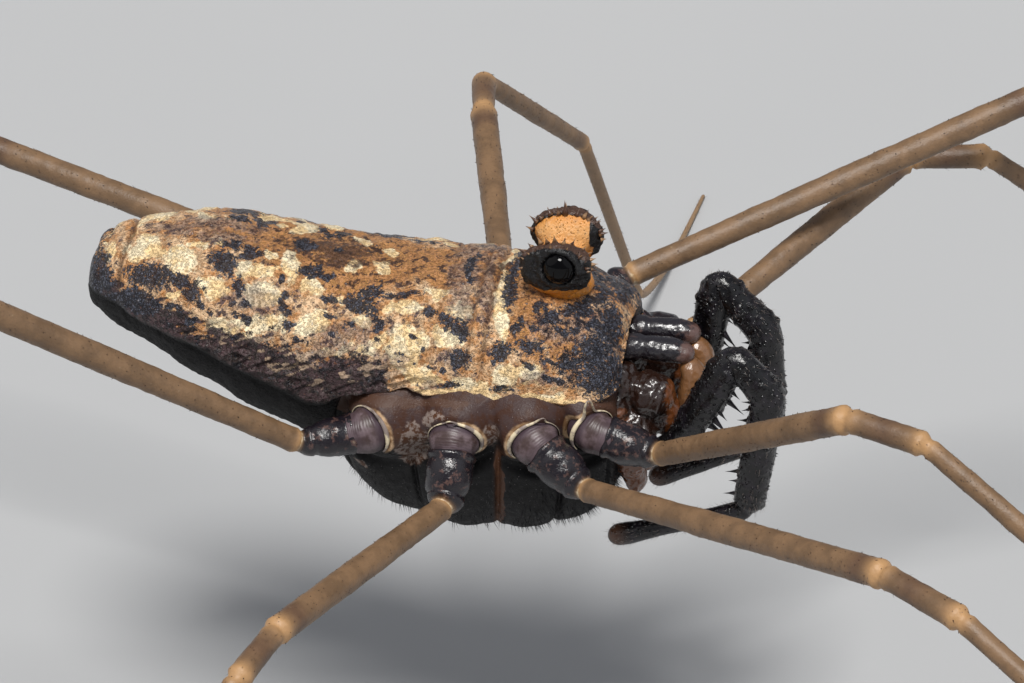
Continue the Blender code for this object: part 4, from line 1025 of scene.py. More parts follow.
class HARVESTMAN_OT_trunk(bpy.types.Operator):
    """Builds the shield of the back with its underside as one skin."""
    bl_idname = "harvestman.trunk"
    bl_label = "Trunk skin"

    def execute(self, context):
        settings = context.scene.harvestman_trunk
        (tail, tail_depth), (brow, brow_depth) = REAR_ROUND, FRONT_ROUND
        rear = tail - tail_depth * np.cos(np.linspace(0, math.pi / 2, 14))
        middle = np.linspace(tail, brow, settings.rings)[1:]
        front = brow + brow_depth * np.sin(np.linspace(0, math.pi / 2, 12))[1:]
        along = np.concatenate((rear, middle, front))
        shrink = np.ones(len(along))
        shrink[:14] = np.sqrt(np.clip(1 - ((tail - rear) / tail_depth)**2, 0.0009, 1))
        shrink[-11:] = 1 - 0.13 * (
            1 - np.sqrt(np.clip(1 - ((front - brow) / brow_depth)**2, 0, 1)))
        inner = np.linspace(1, 0.02, 14)[1:]
        along = np.concatenate((along, 4.62 - 0.16 * (1 - inner)))
        shrink = np.concatenate((shrink, 0.87 * inner))
        half, top, bottom = steps(TRUNK, along)
        edge, undercut = steps(EDGE, along), steps(UNDERCUT, along)
        sweep = np.linspace(0, 180, 400)
        spacing = 1 / (0.35 + 1.1 * np.exp(-((sweep - 91) / 14)**2) + 0.55 * (sweep < 90))
        reach = np.cumsum(1 / spacing)
        angles = np.interp(np.linspace(reach[0], reach[-1], TRUNK_AROUND), reach, sweep)
        ring = np.concatenate((angles, 360 - angles[-2:0:-1]))
        side = np.where(ring <= 180, -1.0, 1.0)
        fold = np.where(ring <= 180, ring, 360 - ring)
        sine, cosine = np.sin(np.radians(fold)), np.cos(np.radians(fold))
        upper = fold <= 90
        step_in = ease(fold, 92.5, 99)[None] * undercut[:, None]
        blunt = ease(along, 3.5, 4.5)[:, None] * (fold < 90)
        wide = (half[:, None] - step_in) * np.abs(sine)**(0.86 + 0.30 * blunt)
        rise = np.where(upper[None], (top - edge)[:, None], (edge - bottom)[:, None])
        arch = np.sign(cosine)[None] * np.abs(cosine)[None]**(0.92 + 0.12 * blunt)
        height = edge[:, None] + rise * arch
        level = np.where(along < 0, 0.78, 0.35)
        points = np.stack((
            np.broadcast_to(along[:, None], wide.shape), side[None] * wide * shrink[:, None],
            level[:, None] + (height - level[:, None]) * shrink[:, None]), -1)
        x, y, z = points[..., 0], points[..., 1], points[..., 2]
        near_edge = np.exp(-((fold[None] - 89.5) / 3.2)**2)
        shield = 1 - ease(fold, 90, 94)[None] * np.ones_like(x)
        flank = ease(fold, 48, 76)[None] * shield
        lag = (np.abs(y) / half[:, None])**2
        relief = 0.034 * ripple(points, 0.55, 1) + 0.020 * ripple(points, 0.24, 2)
        relief += 0.012 * ripple(points, 0.10, 3) + 0.007 * ripple(points, 0.055, 4)
        front = ease(x, 2.5, 2.8) * shield
        relief += 0.035 * ripple(points, 0.30, 5) * front
        # Painted shade for the grooves, in proportion to each groove's depth
        crease = np.zeros_like(x)
        for place, depth, width, back in GROOVES:
            line = np.exp(-((x - place + back * lag + 0.02 * ripple(points, 0.3, 6)) / width)**2)
            line = line * (1 - 0.85 * ease(fold, 62, 82)[None])
            relief -= depth * line * shield
            crease = np.maximum(crease, line * depth / 0.06)
        ridge = np.exp(-((x - 2.31 + 0.03 * lag) / 0.11)**2)
        relief += 0.035 * ridge * shield
        slant = np.stack((x * 0.8 + z * 1.1, y * 0.3, (z - x * 0.42) * 3.4), -1)
        folds = ripple(slant, 0.42, 8)
        wrinkles = (1 - np.abs(folds)) ** 3
        belt = ease(x, -3.4, -2.2) * (1 - ease(x, 1.2, 2.0))
        relief += 0.085 * (wrinkles - 0.4) * flank * belt
        relief += 0.035 * near_edge * ease(x, -4.0, -3.0)
        corner = np.exp(-((x - 4.25) / 0.26)**2 - ((z - 0.42) / 0.36)**2)
        relief += 0.07 * (corner * ease(np.abs(y), 0.8, 1.3))
        collar = np.exp(-((x - MOUND_ALONG) / 0.85)**4 - (y / 0.80)**4)
        relief -= 0.05 * collar * shield
        cheek = np.exp(-((x - 3.3) / 0.5)**2 - ((z - 0.75) / 0.20)**2)
        relief -= 0.045 * cheek * shield
        relief = relief * settings.relief * shrink[:, None]
        points = points + ring_normals(points) * relief[..., None]
        points[..., 0] = np.clip(points[..., 0], REAR_END, 4.64)
        dark = marked(points, DARK_MARKS, 0.55, 4.0, 11)
        pale = marked(points, PALE_MARKS, 0.50, 6.0, 12)
        rust = marked(points, RUST_MARKS, 0.50, 8.0, 13)
        grey = marked(points, GREY_MARKS, 0.60, 8.0, 14)
        across, down = picture_place(points)
        lowest = down[:, np.argmin(np.abs(ring - 90))]
        above = lowest[:, None] - down
        streak = ripple(slant, 0.30, 9) + 0.5 * ripple(slant, 0.13, 10)
        top_zone = ease(above, 96, 118) * (1 - ease(across, 470, 520))
        rust = np.maximum(rust, 0.85 * top_zone)
        tall = 20 + 22 * ease(across, 190, 290) * (1 - ease(across, 350, 400))
        plum = 1 - ease(above + 15 * streak, tall * 0.55, tall * 1.5)
        plum = plum * (1 - ease(across, 376, 402) * (1 - ease(across, 590, 620) * 0.5))
        plum = np.maximum(plum, 0.62 * marked(points, PLUM_MARKS, 0.6, 8.0, 16))
        plum = np.maximum(plum, (1 - ease(x, -4.35, -3.95)) * (1 - ease(z, 0.8, 1.0)))
        plum = np.maximum(plum, np.exp(-((fold[None] - 95) / 3.5)**2) * ease(x, 0.8, 1.4))
        wisp = ease(ripple(slant * 1.3, 0.22, 15), 0.05, 0.55) * ease(above, 6, 16)
        wisp = wisp * (1 - ease(above, 40, 60)) * ease(across, 170, 230)
        wisp = wisp * (1 - ease(across, 400, 430))
        dorsal = ease(above, 112, 146) * (1 - ease(x, 2.4, 3.2)) * ease(x, -4.3, -4.0)
        lip = np.exp(-((fold[None] - 88.5) / 1.8)**2) * ease(x, 1.15, 1.5) * (1 - ease(x, 3.9, 4.4))
        lip += 0.45 * np.exp(-((above - 15 - 3 * streak) / 3)**2) * ease(across, 425, 450) * (
            1 - ease(across, 560, 590))
        under = (1 - shield) * (1 - ease(x, -0.1, 0.2))
        cavity = (1 - shield) * ease(x, -0.1, 0.2) * ease(fold, 97, 100)[None]
        crease = np.clip(crease * 0.9, 0, 1) * shield
        new_skin(
            "trunk_skin", points, shield_paint(context.scene.harvestman_colours),
            ("opisthosoma", "carapace"), "hind_body_shell", dark=dark, pale=pale, rust=rust,
            grey=grey, wisp=wisp, dorsal=dorsal, plum=plum, lip=lip, under=under, cavity=cavity,
            crease=crease)
        return {"FINISHED"}


class HARVESTMAN_OT_leg_bases(bpy.types.Operator):
    """Builds the block of the eight leg bases and the plate between them as one skin."""
    bl_idname = "harvestman.leg_bases"
    bl_label = "Leg bases"

    def execute(self, context):
        body = np.linspace(-0.10, 4.50, 260)
        rear = -0.10 - 0.14 * np.sin(np.linspace(math.pi / 2, 0, 9))[:-1]
        front = 4.50 + 0.12 * np.sin(np.linspace(0, math.pi / 2, 9))[1:]
        along = np.concatenate((rear, body, front))
        shrink = np.ones(len(along))
        shrink[:8] = np.sqrt(np.clip(1 - ((-0.10 - rear) / 0.14)**2, 0.001, 1))
        shrink[-8:] = np.sqrt(np.clip(1 - ((front - 4.50) / 0.12)**2, 0.001, 1))
        width, depth = steps(BLOCK_SIZES, along)
        share = np.concatenate((np.linspace(0, 1, 130), np.linspace(1, 0, 130)[1:-1]))
        side = np.concatenate((-np.ones(130), np.ones(128)))
        out, down = steps(BLOCK_OUTLINE, share)
        centre = -0.9
        points = np.stack((
            np.broadcast_to(along[:, None], (len(along), len(share))),
            side[None] * out[None] * width[:, None] * shrink[:, None],
            centre + (np.where(down < 0, down[None] * depth[:, None], down[None]) - centre)
            * shrink[:, None]), -1)
        x, y = points[..., 0], points[..., 1]
        flank = np.clip((np.abs(y) - 0.35) / 1.6, 0, 1)
        seam = np.zeros_like(x)
        for foot, socket in SEAMS:
            line = foot + (socket - foot) * flank
            seam = np.maximum(seam, np.exp(-((x - line) / 0.045)**2))
        low = ease(share, 0.16, 0.34)[None] * np.ones_like(x)
        off_plate = ease(np.abs(y), 0.30, 0.36)
        swell = np.zeros_like(x)
        for number in COXA_FOOT:
            line = COXA_FOOT[number] + (COXA_SOCKET[number][0] - COXA_FOOT[number]) * flank
            swell = np.maximum(swell, np.exp(-((x - line) / 0.40)**2))
        deep = 1 - 0.5 * ease(share, 0.66, 0.8)[None]
        relief = 0.08 * (swell - 0.7) * low * off_plate - 0.085 * seam * low * off_plate * deep
        plate_edge = np.exp(-((np.abs(y) - 0.33) / 0.03)**2) * (share > 0.8)[None]
        relief = relief - 0.06 * plate_edge + 0.012 * ripple(points, 0.2, 21)
        relief += 0.006 * ripple(points, 0.06, 22)
        skin_folds = (1 - np.abs(ripple(points * np.array((1, 1, 2.2)), 0.35, 24))) ** 3
        relief += 0.03 * skin_folds * (1 - low)
        points = points + ring_normals(points) * (relief * shrink[:, None])[..., None]
        rim = np.zeros_like(x)
        for on_side in SIDES.values():
            for number, broad in RIM_SIDE.items():
                centre, facing, sideways, upright = socket_frame(number, on_side)
                radius = SOCKET_RADIUS[number]
                offset = points - centre
                out = offset @ facing
                level = offset @ upright
                ahead = -on_side * (offset @ sideways)
                radial = np.sqrt(level**2 + ahead**2)
                near = (1 - ease(radial, radius + 0.10, radius + 0.46)) * ease(out, -1.1, -0.6)
                near = near * (points[..., 1] * on_side > 0.8)
                target = -0.06 - 0.42 * ease(radial, radius + 0.05, radius + 0.46)
                target = target - 0.25 * (1 - ease(radial, radius - 0.14, radius - 0.04))
                points = points + facing * (near * (target - out))[..., None]
                turned = ahead / np.maximum(radial, 0.05) * broad
                bold = 0.30 + 0.70 * ease(turned, -0.1, 0.7)
                bold = bold * (0.25 + 0.75 * ease(level / radius, -1.15, -0.4))
                wide = 0.026 + 0.040 * ease(turned, -0.1, 0.8)
                line = np.exp(-((radial - radius - 0.07) / wide)**2)
                rim = np.maximum(rim, bold * line * (near > 0))
        high = 1 - ease(share, 0.26, 0.40)[None] * np.ones_like(x)
        pale = marked(points, PALE_FLANK_MARKS, 0.6, 5.0, 31) * (share < 0.62)[None]
        rust = marked(points, RUST_FLANK_MARKS, 0.5, 3.0, 32)
        tan = seam * low * (1 - plate_edge) * np.exp(-((x - 2.6) / 0.5)**2)
        replaced = ["genital_operculum"]
        replaced += [f"leg_{number}_{name}_coxa" for number in COXA_FOOT for name in SIDES]
        new_skin("leg_bases", points, block_paint(context.scene.harvestman_colours), replaced,
                 "coxa_shell", high=high, pale=pale, rust=rust, seam=tan, rim=rim)
        KEPT["leg_bases"] = (points, share[None] * np.ones_like(x))
        return {"FINISHED"}


def socket_frame(number, side):
    """Centre and axes of a leg socket: facing, across and up."""
    centre = mirrored(COXA_SOCKET[number], side)
    out = np.array((0.0, side, 0.0))
    facing = unit(out + (heading(*POSE[(number, side)][0], side) - out) * FACE_TURN)
    across = unit(np.cross((0, 0, 1), facing))
    return centre, facing, across, np.cross(facing, across)


class HARVESTMAN_OT_sockets(bpy.types.Operator):
    """Builds the soft cuff and the ivory rim of every leg socket."""
    bl_idname = "harvestman.sockets"
    bl_label = "Leg sockets"

    def execute(self, context):
        paint = socket_paint(context.scene.harvestman_colours)
        for name, side in SIDES.items():
            points, faces, rim, striae = [], [], [], []

            def take(piece, quads, rim_value, stria_values):
                base = sum(len(part) for part in points)
                points.append(piece)
                faces.extend(tuple(base + corner for corner in quad) for quad in quads)
                rim.append(np.full(len(piece), rim_value))
                striae.append(stria_values)

            for number in COXA_SOCKET:
                centre, facing, sideways, upright = socket_frame(number, side)
                forward = -side * sideways
                axis = heading(*POSE[(number, side)][0], side)
                radius = SOCKET_RADIUS[number]
                path, travelled = walk(eased_path((
                    centre - facing * 0.26, centre + facing * 0.03, centre + axis * 0.36),
                    0.20), 0.014)
                share = travelled / travelled[-1]
                radii = np.interp(share, (0, 0.2, 0.46, 0.62, 0.8, 1), (
                    radius, radius * 1.0, radius * 0.99, radius * 0.90, 0.33, 0.30))
                rings = tube(path, rounded_ends(radii, travelled, 0, 0.05), 56)
                take(*capped(rings), 0.0, with_poles(share[:, None] * np.ones(rings.shape[:2])))
                peak, lean = SOCKET_PEAK[number]
                arc = np.linspace(-48, 228, 90)
                turns = np.radians(arc)
                crown = np.exp(-((arc - 90 - lean * RIM_SIDE[number]) / 9)**2)
                broad = 0.5 + 0.5 * np.cos(turns) * RIM_SIDE[number]
                reach = radius + 0.02 + 0.02 * broad + peak * crown
                path = centre - facing * (0.05 - 0.06 * crown)[:, None] + reach[:, None] * (
                    np.outer(np.cos(turns), forward) + np.outer(np.sin(turns), upright))
                fading = np.clip(np.sin((arc + 48) / 276 * np.pi), 0.1, 1)**0.5
                girth = (0.010 + 0.042 * broad**2) * fading * (1 - 0.4 * crown)
                rings = tube(path, rounded_ends(girth, distances(path), 0.05, 0.05), 12)
                skin, quads = capped(rings)
                take(skin, quads, 1.0, np.zeros(len(skin)))
            new_piece(f"sockets_{name}", np.concatenate(points), faces, paint, (), "coxa_shell",
                      rim=np.concatenate(rim), striae=np.concatenate(striae))
        return {"FINISHED"}


def remeshed(pieces, voxel):
    """One even skin round several closed pieces, in millimetres, as points and faces."""
    bm = bmesh.new()
    for points, faces in pieces:
        corners = [bm.verts.new(point) for point in points]
        for face in faces:
            bm.faces.new([corners[corner] for corner in face])
    bmesh.ops.recalc_face_normals(bm, faces=bm.faces)
    mesh = bpy.data.meshes.new("joined")
    bm.to_mesh(mesh)
    bm.free()
    holder = bpy.data.objects.new("joined", mesh)
    bpy.context.scene.collection.objects.link(holder)
    merge = holder.modifiers.new("merge", "REMESH")
    merge.mode = "VOXEL"
    merge.voxel_size = voxel
    smooth = holder.modifiers.new("smooth", "SMOOTH")
    smooth.factor = 0.5
    smooth.iterations = 6
    bpy.context.view_layer.update()
    result = bpy.data.meshes.new_from_object(
        holder.evaluated_get(bpy.context.evaluated_depsgraph_get()))
    bpy.data.objects.remove(holder, do_unlink=True)
    points = np.zeros(len(result.vertices) * 3)
    result.vertices.foreach_get("co", points)
    normals = np.zeros(len(result.vertices) * 3)
    result.vertices.foreach_get("normal", normals)
    faces = [tuple(face.vertices) for face in result.polygons]
    bpy.data.meshes.remove(result)
    return points.reshape(-1, 3), normals.reshape(-1, 3), faces


def ball(centre, half, turn=0.0, around=40, rows=24):
    """Points and faces of an ellipsoid, leaning about the body's length."""
    rings = []
    for row in np.linspace(0.04, math.pi - 0.04, rows):
        angles = 2 * np.pi * np.arange(around) / around
        rings.append(np.stack((
            half[0] * math.sin(row) * np.cos(angles), half[1] * math.sin(row) * np.sin(angles),
            np.full(around, half[2] * math.cos(row))), 1))
    rings = np.array(rings)
    turn = math.radians(turn)
    y = rings[..., 1] * math.cos(turn) - rings[..., 2] * math.sin(turn)
    z = rings[..., 1] * math.sin(turn) + rings[..., 2] * math.cos(turn)
    rings = np.stack((rings[..., 0], y, z), -1) + np.asarray(centre, float)
    return capped(rings)


def lobe_reach(angle):
    """How far a lobe's squarish outline stands beyond its ellipse at an angle."""
    return (np.abs(np.cos(angle))**LOBE_SQUARE + np.abs(np.sin(angle))**LOBE_SQUARE)**(
        -1 / LOBE_SQUARE)


class HARVESTMAN_OT_eye_mound(bpy.types.Operator):
    """Builds the eye mound with its crests of teeth, and the eyes."""
    bl_idname = "harvestman.eye_mound"
    bl_label = "Eye mound and eyes"

    def execute(self, context):
        colours = context.scene.harvestman_colours
        pieces = [ball((MOUND_ALONG, 0, 1.46), (0.62, 0.60, 0.42))]
        for side in (1, -1):
            lobe, faces = ball((MOUND_ALONG, LOBE_OFFSET * side, LOBE_LEVEL), LOBE_HALF,
                               -LOBE_LEAN * side, 56, 36)
            lobe[:, 1] = np.where(lobe[:, 1] * side > LOBE_FLAT, LOBE_FLAT * side, lobe[:, 1])
            ahead, rise = lobe[:, 0] - MOUND_ALONG, lobe[:, 2] - LOBE_LEVEL
            reach = lobe_reach(np.arctan2(rise / LOBE_HALF[2], ahead / LOBE_HALF[0]))
            lobe[:, 0] = MOUND_ALONG + ahead * reach
            lobe[:, 2] = LOBE_LEVEL + rise * reach
            pieces.append((lobe, faces))
            pieces.append(ball((MOUND_ALONG - 0.02, 0.34 * side, 1.68), (0.50, 0.22, 0.36),
                               -24 * side))
        points, normals, faces = remeshed(pieces, 0.022)
        x, y, z = points.T
        across = np.abs(y)
        inner = 1 - ease(across, 0.44, 0.62)
        narrow = 1 - inner * 0.34 * (1 - ease(z, 1.62, 2.12)) * ease(z, 1.20, 1.55)
        shift = 0.10 * inner * ease(z, 1.9, 2.3)
        points[:, 0] = MOUND_ALONG + (x - MOUND_ALONG) * narrow + shift
        x = points[:, 0]
        outer = ease(across, 0.42, 0.56)
        lobes = ease(z, 1.46, 1.60) * outer
        arch = np.hypot((x - MOUND_ALONG) / LOBE_HALF[0], (z - LOBE_LEVEL) / LOBE_HALF[2])
        arch = arch / lobe_reach(np.arctan2((z - LOBE_LEVEL) / LOBE_HALF[2],
                                            (x - MOUND_ALONG) / LOBE_HALF[0]))
        crest = ease(arch, 0.84, 1.0) * ease(z, 1.98, 2.16) * ease(across, 0.36, 0.52)
        ring = np.hypot(x - EYE[0], z - EYE[2])
        seat = ease(across, 0.60, 0.72)
        relief = 0.018 * ripple(points, 0.085, 41) + 0.013 * ripple(points, 0.045, 42)
        relief = relief * (0.4 + lobes)
        relief += 0.02 * ripple(points, 0.25, 43)
        relief += 0.045 * np.exp(-((ring - 0.32) / 0.05)**2) * seat - 0.05 * (ring < 0.26) * seat
        points = points + normals * relief[:, None]
        prow = ease(x, MOUND_ALONG + 0.34, MOUND_ALONG + 0.46) * ease(z, 1.6, 1.8)
        orange = np.clip(1 - np.maximum(lobes, prow), 0, 1)
        # Painted glow high on the inner walls of the groove between the lobes
        glow = np.exp(-((across - 0.34) / 0.16)**2 - ((z - 2.0) / 0.25)**2)
        new_piece("eye_mound", points, faces, mound_paint(colours), ("ocularium",), "mound_shell",
                  orange=orange, crest=crest, glow=glow)
        teeth = {"places": [], "leans": [], "heights": [], "girths": []}
        draw = random.Random(17)
        for side in (1, -1):
            for line, (offset, share, girth) in enumerate(((0.50, 1.0, 0.052), (0.68, 0.6, 0.036))):
                for turn, height in CREST:
                    angle = math.radians(turn + line * 6 + draw.uniform(-3, 3))
                    out = unit(np.array((math.cos(angle) / LOBE_HALF[0], 0,
                                         math.sin(angle) / LOBE_HALF[2])))
                    reach = (0.965 if line == 0 else 0.90) * lobe_reach(angle)
                    root = np.array((
                        MOUND_ALONG + LOBE_HALF[0] * reach * math.cos(angle), offset * side,
                        LOBE_LEVEL + LOBE_HALF[2] * reach * math.sin(angle)))
                    teeth["places"].append(root - out * 0.03)
                    teeth["leans"].append(out + np.array((
                        0.25 * math.cos(angle), side * draw.uniform(-0.1, 0.4), 0)))
                    teeth["heights"].append((height * share + 0.045) * draw.uniform(0.85, 1.15))
                    teeth["girths"].append(girth * (0.8 + height * 2))
        roots = spread_roots(**teeth)
        tooth_colour = bristle_paint("crest_tooth", colours.umber, colours.tan, 0.3)
        set_spines("crest_teeth", roots, tooth_colour, sides=8, needle=1.5)
        paint = eye_paint(colours)
        for name, side in SIDES.items():
            lens, faces = ball((EYE[0], EYE[1] * side, EYE[2]), (0.275, 0.20, 0.275), 0, 48, 32)
            new_piece(f"eye_lens_{name}", lens, faces, paint, (f"eye_{name}",), "eye_lens")
        return {"FINISHED"}


class HARVESTMAN_OT_jaws(bpy.types.Operator):
    """Builds both jaws, the amber skin round them and the feelers' bases."""
    bl_idname = "harvestman.jaws"
    bl_label = "Jaws and mouthparts"

    def execute(self, context):
        colours = context.scene.harvestman_colours
        dark = jaw_paint("jaw_base", colours.plum_black, colours.hip, 0.27)
        amber = jaw_paint("jaw_hand", colours.amber, colours.horn, 0.30)
        mass = jaw_paint("feeler_base", colours.jaw, colours.amber, 0.24)
        for name, side in SIDES.items():
            path = eased_path(((4.40, 0.30 * side, 0.28), (4.75, 0.31 * side, 0.37),
                               (5.50, 0.33 * side, 0.36), (5.72, 0.33 * side, 0.24)), 0.18)
            path, travelled = walk(path, 0.022)
            radii = np.interp(travelled, (0, 0.42, 0.50, 0.62, 1.0, 1.25), (
                0.25, 0.235, 0.20, 0.215, 0.215, 0.19))
            radii = rounded_ends(radii, travelled, 0.05, 0.18)
            rings = tube(path, radii, 32, 0.92)
            rings = rings + ring_normals(rings) * (
                0.012 * ripple(rings, 0.30, 51) + 0.005 * ripple(rings, 0.07, 52))[..., None]
            ends = 0.9 * np.exp(-((travelled - travelled[-1]) / 0.22)**2) + 0.2
            new_skin(f"jaw_base_{name}", rings, dark, (f"chelicera_{name}_base",), "jaw_shell",
                     amber=ends[:, None])
            hand = []
            palm, travelled = walk(eased_path((
                (5.58, 0.33 * side, 0.22), (5.76, 0.36 * side, -0.06), (5.70, 0.38 * side, -0.50),
                (5.58, 0.34 * side, -0.88)), 0.12), 0.03)
            girth = 0.15 + 0.15 * np.sin(np.pi * np.clip(travelled / travelled[-1], 0, 1))**0.8
            hand.append(capped(tube(palm, rounded_ends(girth, travelled, 0.1, 0.1), 20, 0.8)))
            for lean, tip in ((-0.08, (5.34, 0.27, -1.44)), (0.07, (5.64, 0.29, -1.38))):
                root = np.array((5.62 + lean, 0.34 * side, -0.74))
                middle = np.array((5.56 + lean * 2.2, 0.33 * side, -1.10))
                finger, travelled = walk(eased_path((root, middle, mirrored(tip, side)), 0.2), 0.03)
                taper = 0.115 - 0.085 * travelled / travelled[-1]
                hand.append(capped(tube(finger, rounded_ends(taper, travelled, 0, 0.05), 14)))
            points, normals, faces = remeshed(hand, 0.025)
            points = points + normals * (0.008 * ripple(points, 0.12, 53))[:, None]
            new_piece(f"jaw_hand_{name}", points, faces, amber, (f"chelicera_{name}_hand",),
                      "jaw_shell", amber=0.55 + 0.45 * ease(points[:, 2], -1.2, 0.0))
            parts = [
                ball((4.86, 0.92 * side, -1.02), (0.36, 0.34, 0.46)),
                ball((5.04, 0.66 * side, -0.34), (0.46, 0.36, 0.40)),
                ball((4.92, 0.62 * side, -0.66), (0.42, 0.34, 0.52)),
                ball((5.30, 0.62 * side, -0.62), (0.24, 0.26, 0.48)),
                ball((4.58, 0.62 * side, -0.20), (0.28, 0.44, 0.40)),
                ball((4.50, 0.86 * side, -0.52), (0.26, 0.40, 0.40)),
                ball((4.72, 0.55 * side, -1.45), (0.30, 0.30, 0.62)),
                ball((4.78, 0.40 * side, -2.05), (0.22, 0.26, 0.34)),
            ]
            points, normals, faces = remeshed(parts, 0.030)
            points = points + normals * (
                0.034 * ripple(points, 0.22, 54) + 0.024 * ripple(points, 0.10, 55)
                + 0.012 * ripple(points, 0.055, 56))[:, None]
            amberness = np.maximum(
                np.exp(-((points[:, 0] - 4.50) / 0.22)**2) * (1 - ease(points[:, 2], -0.5, -0.2)),
                1 - ease(points[:, 2], -1.9, -1.2))
            amberness = np.maximum(amberness, ease(points[:, 0], 5.24, 5.46) * 0.9)
            new_piece(f"feeler_base_{name}", points, faces, mass, (f"palp_{name}_coxa",),
                      "jaw_shell", amber=0.15 + 0.85 * amberness)
        return {"FINISHED"}


class HARVESTMAN_OT_feelers(bpy.types.Operator):
    """Builds both feelers with their spines, knobs and fine hairs."""
    bl_idname = "harvestman.feelers"
    bl_label = "Feelers"

    def execute(self, context):
        settings = context.scene.harvestman_feelers
        colours = context.scene.harvestman_colours
        paint = feeler_paint(colours)
        spine_colour = bristle_paint("feeler_spine", colours.feeler, colours.plum_black, 0.25)
        hair_colour = bristle_paint("feeler_hair", colours.grey, colours.membrane, 0.4)
        longest = settings.spine / MM
        for name, side in SIDES.items():
            knee, patella = mirrored(FEELER_KNEE[side], side), mirrored(FEELER_PATELLA[side], side)
            shank, tip = mirrored(FEELER_SHANK[side], side), mirrored(FEELER_TIP[side], side)
            base = mirrored(FEELER_BASE, side)
            elbow = base + np.array((0.32, 0, 0.22))
            middle = (shank + tip) / 2 + np.array((0, 0, -0.02))
            path = eased_path((base, elbow, knee, patella, shank, middle, tip), 0.16)
            path, travelled = walk(path, 0.020)
            at_knee, at_patella, at_shank = reached(path, travelled, (knee, patella, shank))
            end = travelled[-1]
            radii = np.interp(travelled, (
                0, 0.25, 0.40, at_knee * 0.55, at_knee - 0.25, at_knee, at_knee + 0.22,
                at_patella - 0.1, at_patella + 0.15, (at_patella + at_shank) / 2, at_shank - 0.12,
                at_shank, at_shank + 0.22, (at_shank + end) / 2, end - 0.35, end), (
                0.20, 0.20, 0.240, 0.295, 0.300, 0.265, 0.270,
                0.295, 0.285, 0.285, 0.255, 0.19, 0.150, 0.135, 0.180, 0.185))
            radii = rounded_ends(radii, travelled, 0.06, 0.22)
            rings = tube(path, radii, 40, 1.0)
            knobbed = 1 - ease(travelled, at_shank - 0.2, at_shank + 0.4)
            lumps = np.clip(ripple(rings, 0.095, 61), 0, 1)**2
            rings = rings + ring_normals(rings) * (
                0.055 * lumps * knobbed[:, None] + 0.016 * ripple(rings, 0.3, 62))[..., None]
            joints = sum(np.exp(-((travelled - spot) / 0.06)**2) for spot in (at_knee, at_shank))
            rings = rings - ring_normals(rings) * (0.03 * joints)[:, None, None]
            replaced = tuple(f"palp_{name}_{part}" for part in ("femur", "tibia", "tarsus"))
            new_skin(f"feeler_{name}", rings, paint, replaced, "feeler_shell",
                     tip=ease(travelled, end - 0.5, end - 0.1)[:, None])
            below, inward = np.array(SPINE_LEAN["femur"]), np.array(SPINE_LEAN["shank"])
            draw = random.Random(23 + side)
            spines = {"places": [], "leans": [], "heights": [], "girths": []}

            def spine(spot, lean, height, girth):
                mark = int(np.argmin(np.abs(travelled - spot)))
                lean = unit(lean + np.array((0, draw.uniform(-0.3, 0.3), 0)))
                spines["places"].append(path[mark] + lean * (radii[mark] - 0.06))
                spines["leans"].append(lean)
                spines["heights"].append(height + 0.06)
                spines["girths"].append(girth)

            for share, height in FEMUR_SPINES:
                spine(at_knee * share, below, longest * height, 0.055 + 0.03 * height)
            for share, height in SHANK_SPINES:
                spot = at_patella + (at_shank - at_patella) * share
                spine(spot, inward, longest * height, 0.045 + 0.04 * height)
            roots = spread_roots(**spines)
            set_spines(f"feeler_spines_{name}", roots, spine_colour, sides=8,
                       needle=1.6)
            every = np.ones(rings.shape[:2])
            tubercles = scattered(
                rings, knobbed[:, None] * every * ease(travelled, 0.3, 0.6)[:, None],
                420, 0.045, 0.018, (0.2, 0, 0.3), 0.2, 64 + side, 0.012)
            set_spines(f"feeler_teeth_{name}", tubercles, spine_colour, sides=5,
                       needle=1.2)
            outer = ring_normals(rings) @ np.array((0.2, -0.3 * side, 0.9))
            hairy = 0.35 + ease(travelled, at_shank - 1.0, at_shank)[:, None] * 0.9
            comb = unit(np.gradient(path, axis=0))[:, None] * every[..., None]
            hairs = scattered(rings, hairy + 0.5 * np.clip(outer, 0, 1), 700, 0.10, 0.0036, comb,
                              0.45, 66 + side)
            set_spines(f"feeler_hairs_{name}", hairs, hair_colour, sides=3,
                       needle=1.1, bend=0.3)
        return {"FINISHED"}


def leg_joints(number, side):
    """Centre line corners of one leg, from its socket to its heel."""
    pose = POSE[(number, side)]
    spots = [mirrored(COXA_SOCKET[number], side)]
    lengths = (TROCHANTER, FEMUR[number], PATELLA[number], TIBIA[number], METATARSUS[number])
    for angles, length in zip(pose, lengths):
        spots.append(spots[-1] + heading(*angles, side) * length)
    return spots


def tarsus_line(heel, turn, length, direction):
    """The foot falls in a curve from the heel and lies along the floor to its tip."""
    floor = 0.07 - AXIS_HEIGHT
    drop = heel[2] - floor
    reach = math.sqrt(max(length**2 - drop**2, 0.3 * length**2)) * 0.92
    start = heel + turn * 0.22
    line = []
    for share in np.linspace(0.06, 1, 22):
        fall = (start[2] - floor) * (1 - (1 - min(share / 0.72, 1))**2)
        place = start + direction * reach * share
        place[2] = start[2] - fall - 0.03 * ease(share, 0.7, 1.0)
        line.append(place)
    return line


